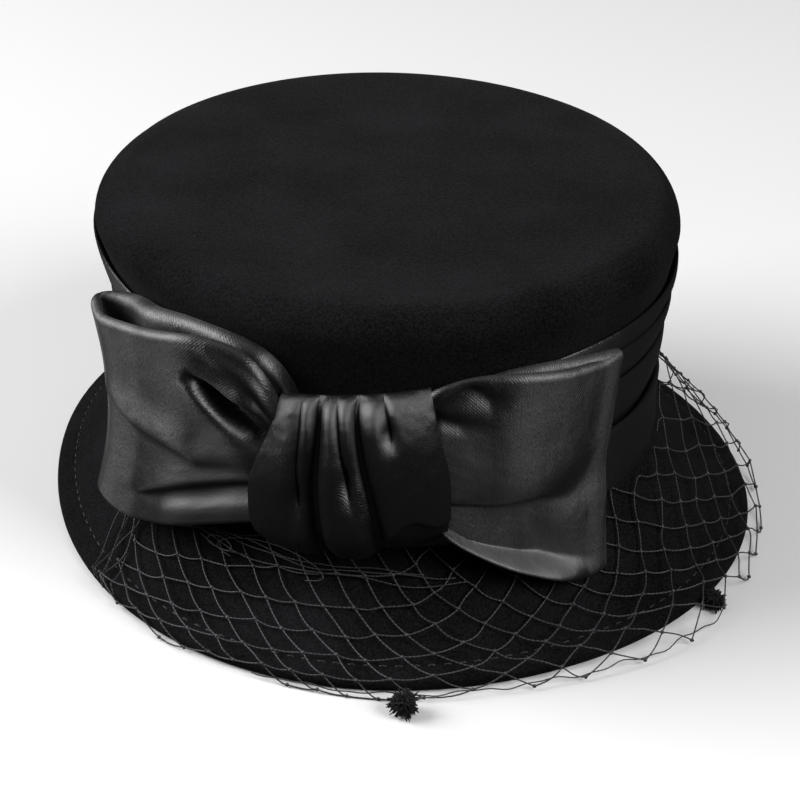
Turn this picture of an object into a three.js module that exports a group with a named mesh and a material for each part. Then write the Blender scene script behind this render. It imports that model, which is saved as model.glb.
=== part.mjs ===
// A flat-crowned felt dress hat with a pleated satin band, a satin bow and a net veil.
// Millimetres, +Z up. The front of the hat faces -Y, and the brim rests on the plane z = 0.
// A bearing is measured round the hat from the front, in degrees, positive towards +X.
import * as THREE from "three";

// Felt body
const FELT = 2; // thickness of the felt
const HEAD = { halfWidth: 83.5, halfLength: 96 }; // inside of the crown where the head goes in
const TIP = { halfWidth: 98, halfLength: 104 }; // outside of the crown at its shoulder
const EDGE = { halfWidth: 120, halfLength: 140 }; // outer edge of the brim
const EDGE_BLUNTNESS = 0.029; // how much the front of the brim is flattened from a true oval
const BLUNT_END = 120; // bearing behind which the edge is a true oval again
const CROWN_HEIGHT = 115;
const SHOULDER_RADIUS = 10;
const SHOULDER_HEIGHT = CROWN_HEIGHT - SHOULDER_RADIUS;
const JOINT_HEIGHT = 31; // where the crown is sewn onto the brim
const WALL_CURVE = 1.7; // 1 is a straight flare; more is upright at the foot and flares near the tip
const BRIM_CURVE = 1.6; // 1 is a straight slope; more is steep at the crown and flat at the edge
const HEM_WIDTH = 12; // felt turned under along the brim's edge
const EDGE_TOP = 2 * FELT + 0.2; // top of the doubled edge
const REST_FLAT = 5; // width of the edge that lies flat on what the hat rests on

// Satin
const SATIN = 1.3; // satin doubled over its interlining
const BAND_TOP = 94.5;
const BAND_FOOT = 28.4;
const BAND_TUCK = 1.2; // how far the satin stands off the crown between two pleats
const BAND_DRIFT = 3.5; // how far a pleat wanders up and down round the hat
const BAND_DIP = { depth: 12, spread: 26 }; // how far the bow draws the band's top down, and how widely
const PLEATS = [
  { foldHeight: BAND_TOP, proud: 2.6, phase: 35 },
  { foldHeight: 83, proud: 2.8, phase: 35 },
  { foldHeight: 72, proud: 3.1, phase: 30 },
  { foldHeight: 54, proud: 4.6, phase: 40 },
];
const BOW_BEARING = -32; // middle of the bow
const BOW_HEIGHT = 63; // middle of the knot
const BOW_LEAN = 76; // height of the crown's wall from which the bow's front is measured
// Loops: how far round the hat each reaches at its top and foot and how many degrees less at half height,
// its form at the tip, and how far its lower corner is turned up and the tip's middle drawn in.
const LOOPS = {
  bow_loop_left: {
    side: -1, topSpan: 48.8, footSpan: 56, waist: 3.2,
    standOff: 17.5, halfGap: 8, top: 102, foot: 14, cornerLift: 9, pinch: 2.5,
  },
  bow_loop_right: {
    side: 1, topSpan: 46.6, footSpan: 45, waist: 0.8,
    standOff: 15.5, halfGap: 4.5, top: 97, foot: 14, cornerLift: 3, pinch: 0.5,
  },
};
const LOOP_ROOT = { span: 3, standOff: 8.2, halfHeight: 22 }; // where a loop ends inside the knot
const LOOP_CLEARANCE = 3.9; // how high a loop's foot stays above the brim and the net on it
const LOOP_FOOT_OUT = 3.5; // how much further its foot stands off than its top, at the tip
const LOOP_CREST = 3; // how much higher its top would be at the knot than at the tip
// Shares of a loop's length: where it leaves the knot, parts into two layers and rises to full height.
const LOOP_LEAVES = 0.28;
const LOOP_OPENS = { from: 0.27, to: 0.62, closed: 0.25 };
const LOOP_ROUNDS = { from: 0.75, fuller: 2.2 }; // its tip is a round turn, fuller than an oval's end
const LOOP_RISES = { from: 0.26, to: 0.36 };
const LOOP_ROLL = { from: 0.3, to: 0.6, edge: 0.8, depth: 4 }; // the top of its back rolls to the crown
const LOOP_STANDS_FROM = 0.22;
const LOOP_FOLDS_FADE = { from: 0.27, to: 0.42, tip: 0.25 };
// Dents and ridges of the loops' fronts: along runs from knot to tip, across from foot to top.
const LOOP_FOLDS = [
  { loop: "bow_loop_left", along: 0.39, across: 0.71, length: 0.2, width: 0.12, slant: 0.9, depth: 7 },
  { loop: "bow_loop_left", along: 0.45, across: 0.26, length: 0.3, width: 0.08, slant: -0.1, depth: 3.5 },
  { loop: "bow_loop_left", along: 0.66, across: 0.53, length: 0.25, width: 0.1, slant: 0.5, depth: -2.5 },
  { loop: "bow_loop_right", along: 0.34, across: 0.87, length: 0.14, width: 0.1, slant: 0.3, depth: 3 },
  { loop: "bow_loop_right", along: 0.55, across: 0.24, length: 0.4, width: 0.12, slant: 0.4, depth: 4 },
];
const KNOT = { span: 16.5, topSpan: 14.3, halfHeight: 27.5, backStandOff: 6, frontStandOff: 22.5 };
const KNOT_TOP_SHIFT = 1.8; // how far the knot's top leans round the hat, in degrees
const KNOT_SAG = 3; // how far the middle of its foot hangs down
const KNOT_TILT = 3; // how much higher the knot is at one side than in the middle
const KNOT_FOLDS = 5;
const KNOT_FOLD_DEPTH = 1.5;
const KNOT_FULLNESS = 0.7; // below 1 the knot's section is squarer than a half round
const KNOT_SIDE_DROP = 0.3; // share by which the knot falls back at its sides

// Net
const NET = 1; // thickness of the net's bars
const NET_BAR = 1.8; // width of the net's bars
const NET_COLUMNS = 24;
const NET_ROWS = 3;
const NET_CLEARANCE = 2.3; // how high the net lies above the felt
const VEIL_START = { inner: -91, outer: -74 }; // bearings of the veil's left side
const VEIL_END = 106; // bearing of the veil's right side
const VEIL_EDGE = 1 - 1 / (2 * NET_ROWS); // share of the veil's width that lies over the brim
const VEIL_TURN = 0.55; // share of the overhang at which the veil turns down
// How the veil hangs: overhang past the brim's edge, bulge above it, and lift up the band.
const VEIL_SECTIONS = [
  { bearing: -95, overhang: 3, bulge: 1.6, lift: 0 },
  { bearing: -50, overhang: 3, bulge: 1.6, lift: 0 },
  { bearing: -15, overhang: 5, bulge: 1.8, lift: 0 },
  { bearing: 22, overhang: 12, bulge: 5, lift: 0 },
  { bearing: 50, overhang: 5, bulge: 2, lift: 4 },
  { bearing: 75, overhang: 3, bulge: 4, lift: 24 },
  { bearing: 110, overhang: 3, bulge: 7, lift: 36 },
];
const DOTS = [
  { name: "veil_dot_front", bearing: -25.3, beyondEdge: 10.8, radius: 4.6 },
  { name: "veil_dot_side", bearing: 30, beyondEdge: 4.6, radius: 3.6 },
];
const DOT_TUFTS = 5; // how often the dot's surface swells round its girth
const DOT_TUFT_DEPTH = 0.12;

const GAP = 0.4; // clear space between neighbouring pieces
const AROUND = 54; // steps round the hat
const WALL_STEPS = 3; // steps up the crown's wall

const felt = new THREE.MeshStandardMaterial({ color: 0x19191a, roughness: 0.95, metalness: 0 });
const satin = new THREE.MeshStandardMaterial({ color: 0x2b2b2d, roughness: 0.38, metalness: 0 });
const netting = new THREE.MeshStandardMaterial({ color: 0x222223, roughness: 0.7, metalness: 0 });
const chenille = new THREE.MeshStandardMaterial({ color: 0x151516, roughness: 1, metalness: 0 });

const radians = THREE.MathUtils.degToRad;
const lerp = THREE.MathUtils.lerp;
const clamp = THREE.MathUtils.clamp;
const smooth = (value, from, to) => THREE.MathUtils.smoothstep(value, from, to);
const steps = (count) => Array.from({ length: count + 1 }, (_, i) => i / count);
const ringBearings = Array.from({ length: AROUND }, (_, i) => (i * 360) / AROUND);
const wallHeights = steps(WALL_STEPS).map((share) => lerp(JOINT_HEIGHT, SHOULDER_HEIGHT, share));

// How far a bearing is from another, between -180 and 180 degrees.
function bearingFrom(start, bearing) {
  return THREE.MathUtils.euclideanModulo(bearing - start + 180, 360) - 180;
}

// An oval moved outwards by a distance.
function grown(oval, distance) {
  return { halfWidth: oval.halfWidth + distance, halfLength: oval.halfLength + distance };
}

const FOOT = grown(HEAD, FELT); // outside of the crown where it meets the brim

// A point of an oval at a bearing and height, moved off it along its outward normal.
function ovalPoint(oval, bearing, height, standOff = 0) {
  const { halfWidth, halfLength } = oval;
  const [sine, cosine] = [Math.sin(radians(bearing)), Math.cos(radians(bearing))];
  const point = new THREE.Vector3(halfWidth * sine, -halfLength * cosine, height);
  const outward = new THREE.Vector3(halfLength * sine, -halfWidth * cosine, 0);
  return point.addScaledVector(outward.normalize(), standOff);
}

// The oval of the crown's outer wall at a height: upright below its foot, a hollow flare above.
function wallOval(height) {
  const share = Math.max(0, height - JOINT_HEIGHT) / (SHOULDER_HEIGHT - JOINT_HEIGHT);
  const rise = share ** WALL_CURVE;
  return {
    halfWidth: lerp(FOOT.halfWidth, TIP.halfWidth, rise),
    halfLength: lerp(FOOT.halfLength, TIP.halfLength, rise),
  };
}

// A point of the crown's outer wall, moved off it by a distance.
function onCrown(bearing, height, standOff) {
  return ovalPoint(wallOval(height), bearing, height, standOff);
}

// A point at a share of the way from the crown's foot (0) to the brim's edge (1).
function onBrim(share, bearing, height) {
  const inner = ovalPoint(FOOT, bearing, height);
  const outer = ovalPoint(EDGE, bearing, height);
  const turn = Math.abs(bearingFrom(0, bearing));
  const blunt = 1 - EDGE_BLUNTNESS * Math.cos(3 * radians(Math.min(turn, BLUNT_END)));
  outer.x *= blunt;
  outer.y *= blunt;
  return inner.lerp(outer, share);
}

// Width of the brim at a bearing, seen from above.
function brimReach(bearing) {
  return onBrim(0, bearing, 0).distanceTo(onBrim(1, bearing, 0));
}

// Height of the brim's upper face at a share of its width.
function brimTop(share) {
  const inside = Math.max(0, 1 - share);
  return EDGE_TOP + (JOINT_HEIGHT - GAP - EDGE_TOP) * inside ** BRIM_CURVE;
}

// A closed mesh from points and triangles, turned so that its faces point outwards.
function meshOf(name, material, points, triangles) {
  const volume = triangles.reduce((sum, [a, b, c]) => {
    const normal = new THREE.Vector3().crossVectors(points[b], points[c]);
    return sum + points[a].dot(normal);
  }, 0);
  const index = triangles.flatMap(([a, b, c]) => (volume < 0 ? [a, c, b] : [a, b, c]));
  const geometry = new THREE.BufferGeometry().setFromPoints(points).setIndex(index);
  geometry.computeVertexNormals();
  const mesh = new THREE.Mesh(geometry, material);
  mesh.name = name;
  return mesh;
}

// The two triangles of a four-cornered face.
function quad(a, b, c, d) {
  return [[a, b, c], [a, c, d]];
}

// A skin over rings of equal length. With poles it is closed by a fan at each end, and without them
// the last ring joins the first.
function skinOfRings(name, material, rings, poles = null) {
  const size = rings[0].length;
  const points = rings.flat();
  const triangles = [];
  const spans = poles ? rings.length - 1 : rings.length;
  for (let row = 0; row < spans; row++) {
    const here = row * size;
    const next = ((row + 1) % rings.length) * size;
    for (let i = 0; i < size; i++) {
      const j = (i + 1) % size;
      triangles.push(...quad(here + i, here + j, next + j, next + i));
    }
  }
  if (poles) {
    const last = (rings.length - 1) * size;
    const first = points.push(poles[0]) - 1;
    const end = points.push(poles[1]) - 1;
    for (let i = 0; i < size; i++) {
      const j = (i + 1) % size;
      triangles.push([first, j, i], [end, last + i, last + j]);
    }
  }
  return meshOf(name, material, points, triangles);
}

// A wall of even thickness around a grid of points: rows of equal length, open on all four sides.
function wallOfGrid(name, material, grid, thickness) {
  const rows = grid.length;
  const columns = grid[0].length;
  const at = (row, column) => grid[clamp(row, 0, rows - 1)][clamp(column, 0, columns - 1)];
  const faces = [[], []];
  for (let row = 0; row < rows; row++) {
    for (let column = 0; column < columns; column++) {
      const along = at(row + 1, column).clone().sub(at(row - 1, column));
      const across = at(row, column + 1).clone().sub(at(row, column - 1));
      const normal = along.cross(across).normalize();
      faces[0].push(at(row, column).clone().addScaledVector(normal, thickness / 2));
      faces[1].push(at(row, column).clone().addScaledVector(normal, -thickness / 2));
    }
  }
  const size = rows * columns;
  const triangles = [];
  const place = (row, column) => row * columns + column;
  for (let row = 0; row + 1 < rows; row++) {
    for (let column = 0; column + 1 < columns; column++) {
      const near = [place(row, column), place(row + 1, column)];
      const far = [place(row + 1, column + 1), place(row, column + 1)];
      const corners = [...near, ...far];
      triangles.push(...quad(...corners));
      triangles.push(...quad(...corners.map((corner) => corner + size).reverse()));
    }
  }
  const border = [];
  for (let row = 0; row + 1 < rows; row++) border.push(place(row, 0));
  for (let column = 0; column + 1 < columns; column++) border.push(place(rows - 1, column));
  for (let row = rows - 1; row > 0; row--) border.push(place(row, columns - 1));
  for (let column = columns - 1; column > 0; column--) border.push(place(0, column));
  border.forEach((a, i) => {
    const b = border[(i + 1) % border.length];
    triangles.push(...quad(b, a, a + size, b + size));
  });
  return meshOf(name, material, faces.flat(), triangles);
}

// Crown: a cup of felt with a flat tip, a rounded shoulder and a wall that narrows to the head.
function crown() {
  const shoulderSteps = 4;
  const profile = (inset) => {
    const rows = wallHeights.map((height) => ({ ...grown(wallOval(height), -inset), height }));
    for (const share of steps(shoulderSteps).slice(1)) {
      const angle = (share * Math.PI) / 2;
      const radius = SHOULDER_RADIUS - inset;
      const height = SHOULDER_HEIGHT + radius * Math.sin(angle);
      rows.push({ ...grown(TIP, radius * Math.cos(angle) - SHOULDER_RADIUS), height });
    }
    return rows;
  };
  const rows = [...profile(0).reverse(), ...profile(FELT)];
  const rings = rows.map((row) => ringBearings.map((bearing) => ovalPoint(row, bearing, row.height)));
  const poles = [new THREE.Vector3(0, 0, CROWN_HEIGHT), new THREE.Vector3(0, 0, CROWN_HEIGHT - FELT)];
  return skinOfRings("crown", felt, rings, poles);
}

// Brim: a sloping oval of felt whose edge is turned under and lies flat where the hat rests.
function brim() {
  const topShares = [0, 0.15, 0.32, 0.5, 0.68, 0.86];
  const edgeRound = 0.6;
  const hemStep = 0.4; // half the width of the step where the turned-under felt ends
  const ring = (makePoint) => ringBearings.map(makePoint);
  const underside = (share, bearing) => {
    const slope = (brimTop(share - 0.05) - brimTop(share + 0.05)) / (0.1 * brimReach(bearing));
    const doubled = (1 - share) * brimReach(bearing) < HEM_WIDTH;
    const thickness = (doubled ? 2 : 1) * FELT * Math.hypot(1, slope);
    return onBrim(share, bearing, Math.max(0, brimTop(share) - thickness));
  };
  const inwards = (distance) => (bearing) => 1 - distance / brimReach(bearing);
  const undersideShares = [
    inwards(REST_FLAT * 1.7),
    inwards(HEM_WIDTH - hemStep),
    inwards(HEM_WIDTH + hemStep),
    ...[0.34, 0.02].map((share) => () => share),
  ];
  const head = (bearing, height) => ovalPoint(HEAD, bearing, height);
  const rings = [
    ring((bearing) => head(bearing, brimTop(0))),
    ...topShares.map((share) => ring((bearing) => onBrim(share, bearing, brimTop(share)))),
    ring((bearing) => onBrim(inwards(edgeRound)(bearing), bearing, EDGE_TOP)),
    ring((bearing) => onBrim(1, bearing, EDGE_TOP - edgeRound)),
    ring((bearing) => onBrim(1, bearing, edgeRound)),
    ring((bearing) => onBrim(inwards(edgeRound)(bearing), bearing, 0)),
    ring((bearing) => onBrim(inwards(REST_FLAT)(bearing), bearing, 0)),
    ...undersideShares.map((share) => ring((bearing) => underside(share(bearing), bearing))),
    ring((bearing) => head(bearing, brimTop(0) - FELT)),
  ];
  return skinOfRings("brim", felt, rings);
}

// Band: satin laid round the crown in pleats. Their folded edges face up, and each covers the foot of
// the one above.
function hatBand() {
  const foldRound = 1.6; // height of the rounded fold at a pleat's upper edge
  const footFullness = 0.9; // share of the last pleat's stand-off that is left at the band's foot
  const rows = [];
  PLEATS.forEach((pleat, i) => {
    const next = PLEATS[i + 1];
    const bottom = next ? next.foldHeight : BAND_FOOT;
    const endStandOff = next ? BAND_TUCK : pleat.proud * footFullness;
    const height = (share) => lerp(pleat.foldHeight - foldRound, bottom, share);
    const drift = (share) => (bearing) => {
      const above = i === 0 ? share : 1;
      const below = next ? 1 : 1 - share;
      const phase = lerp(pleat.phase, next ? next.phase : pleat.phase, share);
      return BAND_DRIFT * Math.min(above, below) * Math.sin(2 * radians(bearing + phase));
    };
    rows.push({ height: pleat.foldHeight, standOff: pleat.proud / 2 + GAP, drift: drift(0) });
    const belly = [
      { share: 0, fall: 0 },
      { share: 0.6, fall: 0.2 },
      { share: next ? 0.97 : 1, fall: 1 },
    ];
    for (const { share, fall } of belly) {
      const standOff = lerp(pleat.proud, endStandOff, fall);
      rows.push({ height: height(share), standOff, drift: drift(share) });
    }
  });
  const still = () => 0;
  const inner = [JOINT_HEIGHT + GAP, ...wallHeights.slice(1, -1), BAND_TOP].map((height) => {
    return { height, standOff: GAP, drift: still };
  });
  const dip = (bearing, height) => {
    const nearBow = Math.exp(-((bearingFrom(BOW_BEARING, bearing) / BAND_DIP.spread) ** 2));
    return (BAND_DIP.depth * nearBow * (height - BAND_FOOT)) / (BAND_TOP - BAND_FOOT);
  };
  const rings = [...rows, ...inner].map(({ height, standOff, drift }) => {
    const level = (bearing) => height + drift(bearing) - dip(bearing, height);
    return ringBearings.map((bearing) => onCrown(bearing, level(bearing), standOff));
  });
  return skinOfRings("hat_band", satin, rings);
}

// How deep the folds of a loop's front are at a place on it.
function foldDepth(name, along, across) {
  const folds = LOOP_FOLDS.filter((fold) => fold.loop === name);
  return folds.reduce((sum, fold) => {
    const u = along - fold.along;
    const v = across - fold.across - fold.slant * u;
    return sum + fold.depth * Math.exp(-((u / fold.length) ** 2) - (v / fold.width) ** 2);
  }, 0);
}

// Bow loop: a strip of satin that leaves the knot, turns round at the tip and comes back behind itself.
// Its back leans with the crown's wall, and its front hangs upright.
function bowLoop(name) {
  const alongSteps = 32;
  const acrossSteps = 6;
  const loop = LOOPS[name];
  const rootHeight = BOW_HEIGHT + loop.side * KNOT_TILT;
  const grid = steps(alongSteps).map((turn) => {
    const along = Math.sin(Math.PI * turn); // 0 at the knot and 1 at the tip
    const layer = -Math.cos(Math.PI * turn); // -1 behind and 1 in front
    const open = lerp(LOOP_OPENS.closed, 1, smooth(along, LOOP_OPENS.from, LOOP_OPENS.to));
    const away = Math.max(0, (along - LOOP_STANDS_FROM) / (1 - LOOP_STANDS_FROM));
    const nearTip = smooth(along, LOOP_ROUNDS.from, 1);
    const fuller = lerp(1, LOOP_ROUNDS.fuller, nearTip);
    const plain = lerp(LOOP_ROOT.standOff, loop.standOff, away) + layer * open * fuller * loop.halfGap;
    const risen = smooth(along, LOOP_RISES.from, LOOP_RISES.to);
    const top = lerp(rootHeight + LOOP_ROOT.halfHeight, loop.top + LOOP_CREST * (1 - along), risen);
    const drop = Math.max(0, (along - LOOP_LEAVES) / (1 - LOOP_LEAVES));
    const footOut = LOOP_FOOT_OUT * drop;
    const reach = brimReach(BOW_BEARING + loop.side * along * loop.footSpan);
    const floor = brimTop((plain + footOut) / reach) + LOOP_CLEARANCE;
    const hanging = Math.max(floor, lerp(rootHeight - LOOP_ROOT.halfHeight, loop.foot, drop));
    const foot = hanging + loop.cornerLift * nearTip;
    const pastKnot = smooth(along, LOOP_FOLDS_FADE.from, LOOP_FOLDS_FADE.to);
    const folded = Math.max(0, layer) * pastKnot * smooth(1 - along, 0, LOOP_FOLDS_FADE.tip);
    const roll = LOOP_ROLL.depth * Math.max(0, -layer) * smooth(along, LOOP_ROLL.from, LOOP_ROLL.to);
    return steps(acrossSteps).map((across) => {
      const middle = Math.sin(Math.PI * across); // 1 at half height
      const tipSpan = lerp(loop.footSpan, loop.topSpan, across) - loop.waist * middle;
      const span = lerp(LOOP_ROOT.span, tipSpan, along);
      const height = lerp(foot, top, across);
      const leaning = lerp(height, BOW_LEAN, (1 + layer) / 2);
      const drawnIn = loop.pinch * middle * nearTip + roll * smooth(across, LOOP_ROLL.edge, 1);
      const inwards = drawnIn + folded * foldDepth(name, along, across);
      const standOff = plain + footOut * (1 - across) - inwards;
      return ovalPoint(wallOval(leaning), BOW_BEARING + loop.side * span, height, standOff);
    });
  });
  return wallOfGrid(name, satin, grid, SATIN);
}

// Knot: a strip of satin gathered into upright folds, over the front of the bow and in behind it.
function bowKnot() {
  const acrossSteps = 20;
  const overSteps = 10;
  const grid = steps(acrossSteps).map((share) => {
    const across = 2 * share - 1;
    return steps(overSteps).map((turn) => {
      const rise = Math.cos(Math.PI * turn); // 1 at the top and -1 at the foot
      const front = Math.sin(Math.PI * turn) ** KNOT_FULLNESS;
      const upper = smooth(rise, -0.2, 1);
      const span = lerp(KNOT.span, KNOT.topSpan, upper);
      const crest = 1 - KNOT_SIDE_DROP * across ** 2;
      const fold = KNOT_FOLD_DEPTH * front * Math.cos(2 * Math.PI * KNOT_FOLDS * share);
      const standOff = lerp(KNOT.backStandOff, KNOT.frontStandOff, front * crest) + fold;
      const sag = KNOT_SAG * Math.max(0, -rise) * (1 - across ** 2);
      const height = BOW_HEIGHT + KNOT.halfHeight * rise + KNOT_TILT * across - sag;
      const leaning = lerp(height, BOW_LEAN, front);
      const bearing = BOW_BEARING + KNOT_TOP_SHIFT * upper + span * across;
      return ovalPoint(wallOval(leaning), bearing, height, standOff);
    });
  });
  return wallOfGrid("bow_knot", satin, grid, SATIN);
}

// The veil's hang at a bearing, between the rows of its table.
function veilSection(bearing) {
  const last = VEIL_SECTIONS.length - 1;
  const found = VEIL_SECTIONS.findIndex((section) => section.bearing >= bearing);
  const upper = clamp(found < 0 ? last : found, 1, last);
  const [a, b] = [VEIL_SECTIONS[upper - 1], VEIL_SECTIONS[upper]];
  const share = smooth(bearing, a.bearing, b.bearing);
  const between = (column) => lerp(a[column], b[column], share);
  return { overhang: between("overhang"), bulge: between("bulge"), lift: between("lift") };
}

// A point of the veil. side runs from its left to its right, and down from the band (0) over the brim to
// its edge (VEIL_EDGE) and on to the hem (1).
function onVeil(side, down) {
  const bearing = lerp(lerp(VEIL_START.inner, VEIL_START.outer, down), VEIL_END, side);
  const { overhang, bulge, lift } = veilSection(bearing);
  const reach = brimReach(bearing);
  const flare = wallOval(JOINT_HEIGHT + lift).halfWidth - FOOT.halfWidth;
  const innerShare = (PLEATS.at(-1).proud + flare + NET + 3 * GAP) / reach;
  const turnShare = 1 + (VEIL_TURN * overhang) / reach;
  const overBrim = Math.min(1, down / VEIL_EDGE);
  const share = lerp(innerShare, turnShare, overBrim);
  const tent = lift * (1 - overBrim) + bulge * smooth(overBrim, 0.3, 1);
  const height = brimTop(share) + NET_CLEARANCE + tent;
  const fall = Math.max(0, (down - VEIL_EDGE) / (1 - VEIL_EDGE));
  const hemHeight = NET / 2 + GAP;
  return onBrim(lerp(share, 1 + overhang / reach, fall), bearing, lerp(height, hemHeight, fall));
}

// Veil: a diamond net. Each mesh of the net is a four-cornered frame of bars round a hole.
function veil() {
  const node = (row, column) => onVeil(column / (2 * NET_COLUMNS), row / (2 * NET_ROWS));
  const normal = (row, column) => {
    const [up, low] = [node(row - 0.5, column), node(row + 0.5, column)];
    const [left, right] = [node(row, column - 0.5), node(row, column + 0.5)];
    return low.sub(up).cross(right.sub(left)).normalize();
  };
  const points = [];
  const known = new Map();
  // The upper and lower point of the net at a place, made once and then shared.
  const pair = (key, point, direction) => {
    if (!known.has(key)) {
      known.set(key, points.length);
      const sides = [NET / 2, -NET / 2];
      points.push(...sides.map((offset) => point.clone().addScaledVector(direction, offset)));
    }
    return known.get(key);
  };
  const triangles = [];
  const rims = new Map();
  const addMesh = (row, column) => {
    const corners = [[row - 1, column], [row, column + 1], [row + 1, column], [row, column - 1]];
    const nodes = corners.map((corner) => node(...corner));
    const centre = nodes.reduce((sum, point) => sum.add(point), new THREE.Vector3()).divideScalar(4);
    const sides = nodes[0].distanceTo(nodes[1]) + nodes[1].distanceTo(nodes[2]);
    const area = nodes[2].clone().sub(nodes[0]).cross(nodes[1].clone().sub(nodes[3])).length() / 2;
    const inset = (NET_BAR / 2) * (sides / area);
    const facing = normal(row, column);
    const outer = corners.map((corner, i) => pair(`${corner}`, nodes[i], normal(...corner)));
    const inner = nodes.map((point, i) => pair(`${row},${column},${i}`, point.lerp(centre, inset), facing));
    outer.forEach((a, i) => {
      const j = (i + 1) % outer.length;
      const b = outer[j];
      triangles.push(...quad(a, b, inner[j], inner[i]));
      triangles.push(...quad(inner[i] + 1, inner[j] + 1, b + 1, a + 1));
      triangles.push(...quad(inner[i], inner[j], inner[j] + 1, inner[i] + 1));
      if (!rims.delete(`${b}-${a}`)) rims.set(`${a}-${b}`, [a, b]);
    });
  };
  for (let row = 1; row < 2 * NET_ROWS; row++) {
    const indent = (row + 1) % 2;
    for (let column = 1 + indent; column < 2 * NET_COLUMNS - indent; column += 2) addMesh(row, column);
  }
  for (const [a, b] of rims.values()) triangles.push(...quad(b, a, a + 1, b + 1));
  return meshOf("veil", netting, points, triangles);
}

// Chenille dot: a small tufted ball that hangs on the veil's hem.
function veilDot(dot) {
  const bands = 6;
  const girth = 12;
  const middle = onBrim(1 + dot.beyondEdge / brimReach(dot.bearing), dot.bearing, dot.radius);
  const tuft = (longitude, latitude) => {
    const swell = 0.5 + 0.5 * Math.cos(DOT_TUFTS * longitude + 3 * latitude);
    return 1 - DOT_TUFT_DEPTH * swell * Math.cos(latitude);
  };
  const rings = steps(bands).slice(1, -1).map((turn) => {
    const latitude = (turn - 0.5) * Math.PI;
    return Array.from({ length: girth }, (_, i) => {
      const longitude = (i * 2 * Math.PI) / girth;
      const radius = dot.radius * tuft(longitude, latitude);
      const level = radius * Math.cos(latitude);
      const offset = [level * Math.cos(longitude), level * Math.sin(longitude), radius * Math.sin(latitude)];
      return middle.clone().add(new THREE.Vector3(...offset));
    });
  });
  const poles = [-1, 1].map((end) => middle.clone().add(new THREE.Vector3(0, 0, end * dot.radius)));
  return skinOfRings(dot.name, chenille, rings, poles);
}

const bow = new THREE.Group();
bow.add(...Object.keys(LOOPS).map(bowLoop), bowKnot());

const trimming = new THREE.Group();
trimming.add(hatBand(), bow);

const netTrimming = new THREE.Group();
netTrimming.add(veil(), ...DOTS.map(veilDot));

const hat = new THREE.Group();
hat.add(crown(), brim(), trimming, netTrimming);

// The origin is the middle of the hat's footprint, on the plane that it rests on.
const extent = new THREE.Box3().setFromObject(hat);
const footprint = extent.getCenter(new THREE.Vector3());
hat.position.set(-footprint.x, -footprint.y, -extent.min.z);

const veiledHat = new THREE.Group();
veiledHat.add(hat);

export default veiledHat;
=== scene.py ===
"""A flat-crowned black felt hat with a pleated satin band, a gathered satin bow and a net veil.

Shapes are worked out in millimetres about the hat's own axis, then set into the shared frame in metres.
A bearing is measured round the hat from its front, in degrees, positive towards +X.
"""
import bmesh
import bpy
import numpy as np
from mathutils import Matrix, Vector


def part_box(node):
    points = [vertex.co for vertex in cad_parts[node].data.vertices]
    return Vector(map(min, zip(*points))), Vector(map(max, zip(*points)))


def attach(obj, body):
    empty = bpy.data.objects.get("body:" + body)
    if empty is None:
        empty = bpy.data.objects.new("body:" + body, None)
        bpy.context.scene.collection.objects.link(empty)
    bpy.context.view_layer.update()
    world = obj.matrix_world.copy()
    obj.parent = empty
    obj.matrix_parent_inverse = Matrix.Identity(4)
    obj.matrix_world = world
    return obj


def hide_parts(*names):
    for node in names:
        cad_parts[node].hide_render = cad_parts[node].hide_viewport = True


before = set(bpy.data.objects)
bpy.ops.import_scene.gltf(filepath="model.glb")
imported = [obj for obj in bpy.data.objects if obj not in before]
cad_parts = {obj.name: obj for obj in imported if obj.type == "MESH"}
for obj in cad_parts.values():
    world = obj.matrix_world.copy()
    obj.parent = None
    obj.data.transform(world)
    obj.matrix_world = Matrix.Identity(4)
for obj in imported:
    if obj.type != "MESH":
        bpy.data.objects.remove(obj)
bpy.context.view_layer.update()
crown_low, crown_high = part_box("crown")
HAT_AXIS = np.array([(crown_low.x + crown_high.x) / 2, (crown_low.y + crown_high.y) / 2, 0.0])
chance = np.random.default_rng(7)

# Felt body, in millimetres; an oval is its half width and half length
FELT = 2.0
HEAD = (83.5, 96.0)
FOOT = (85.5, 98.0)
TIP = (98.0, 104.0)
EDGE = (120.0, 140.0)
EDGE_BLUNTNESS, BLUNT_END = 0.029, 120.0
CROWN_HEIGHT, SHOULDER_RADIUS, JOINT_HEIGHT = 115.0, 10.0, 31.0
SHOULDER_HEIGHT = CROWN_HEIGHT - SHOULDER_RADIUS
WALL_CURVE, BRIM_CURVE, EDGE_TOP, EDGE_ROUND = 1.7, 1.6, 4.2, 2.1
HEM_WIDTH, HEM_STEP, HEM_ROUND, REST_FLAT = 12.0, 0.4, 0.6, 5.0
SEAM_GAP = 0.4
STITCH_INSET, STITCH_PITCH, STITCH_LENGTH, STITCH_THREAD, STITCH_SLIP = 6.6, 5.0, 3.0, 0.3, 0.35
STITCH_SUNK, STITCH_STANDS, STITCH_DIPS, STITCH_TAPER = 0.3, 0.28, 0.75, 0.4
# How deep the stitches draw the felt in and half how wide, and the swell of the doubled edge with where it
# rises and falls, measured in from the edge
GROOVE_DEPTH, GROOVE_HALF = 0.45, 0.9
HEM_SWELL, HEM_SWELL_FROM = 0.35, ((0.0, 3.0), (11.5, 13.5))
# Steps round the crown, the brim and the band, and how long their patterns run round them; the shares by which the
# felt of the crown waves, and the heights over which that grows
CROWN_STEPS, BRIM_STEPS, BAND_STEPS = 240, 300, 250
CROWN_ROUND, BRIM_ROUND, BAND_ROUND = 600, 820, 590
CROWN_WAVES, CROWN_WAVES_FROM = (0.0035, 0.0025), (96, 106)

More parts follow.
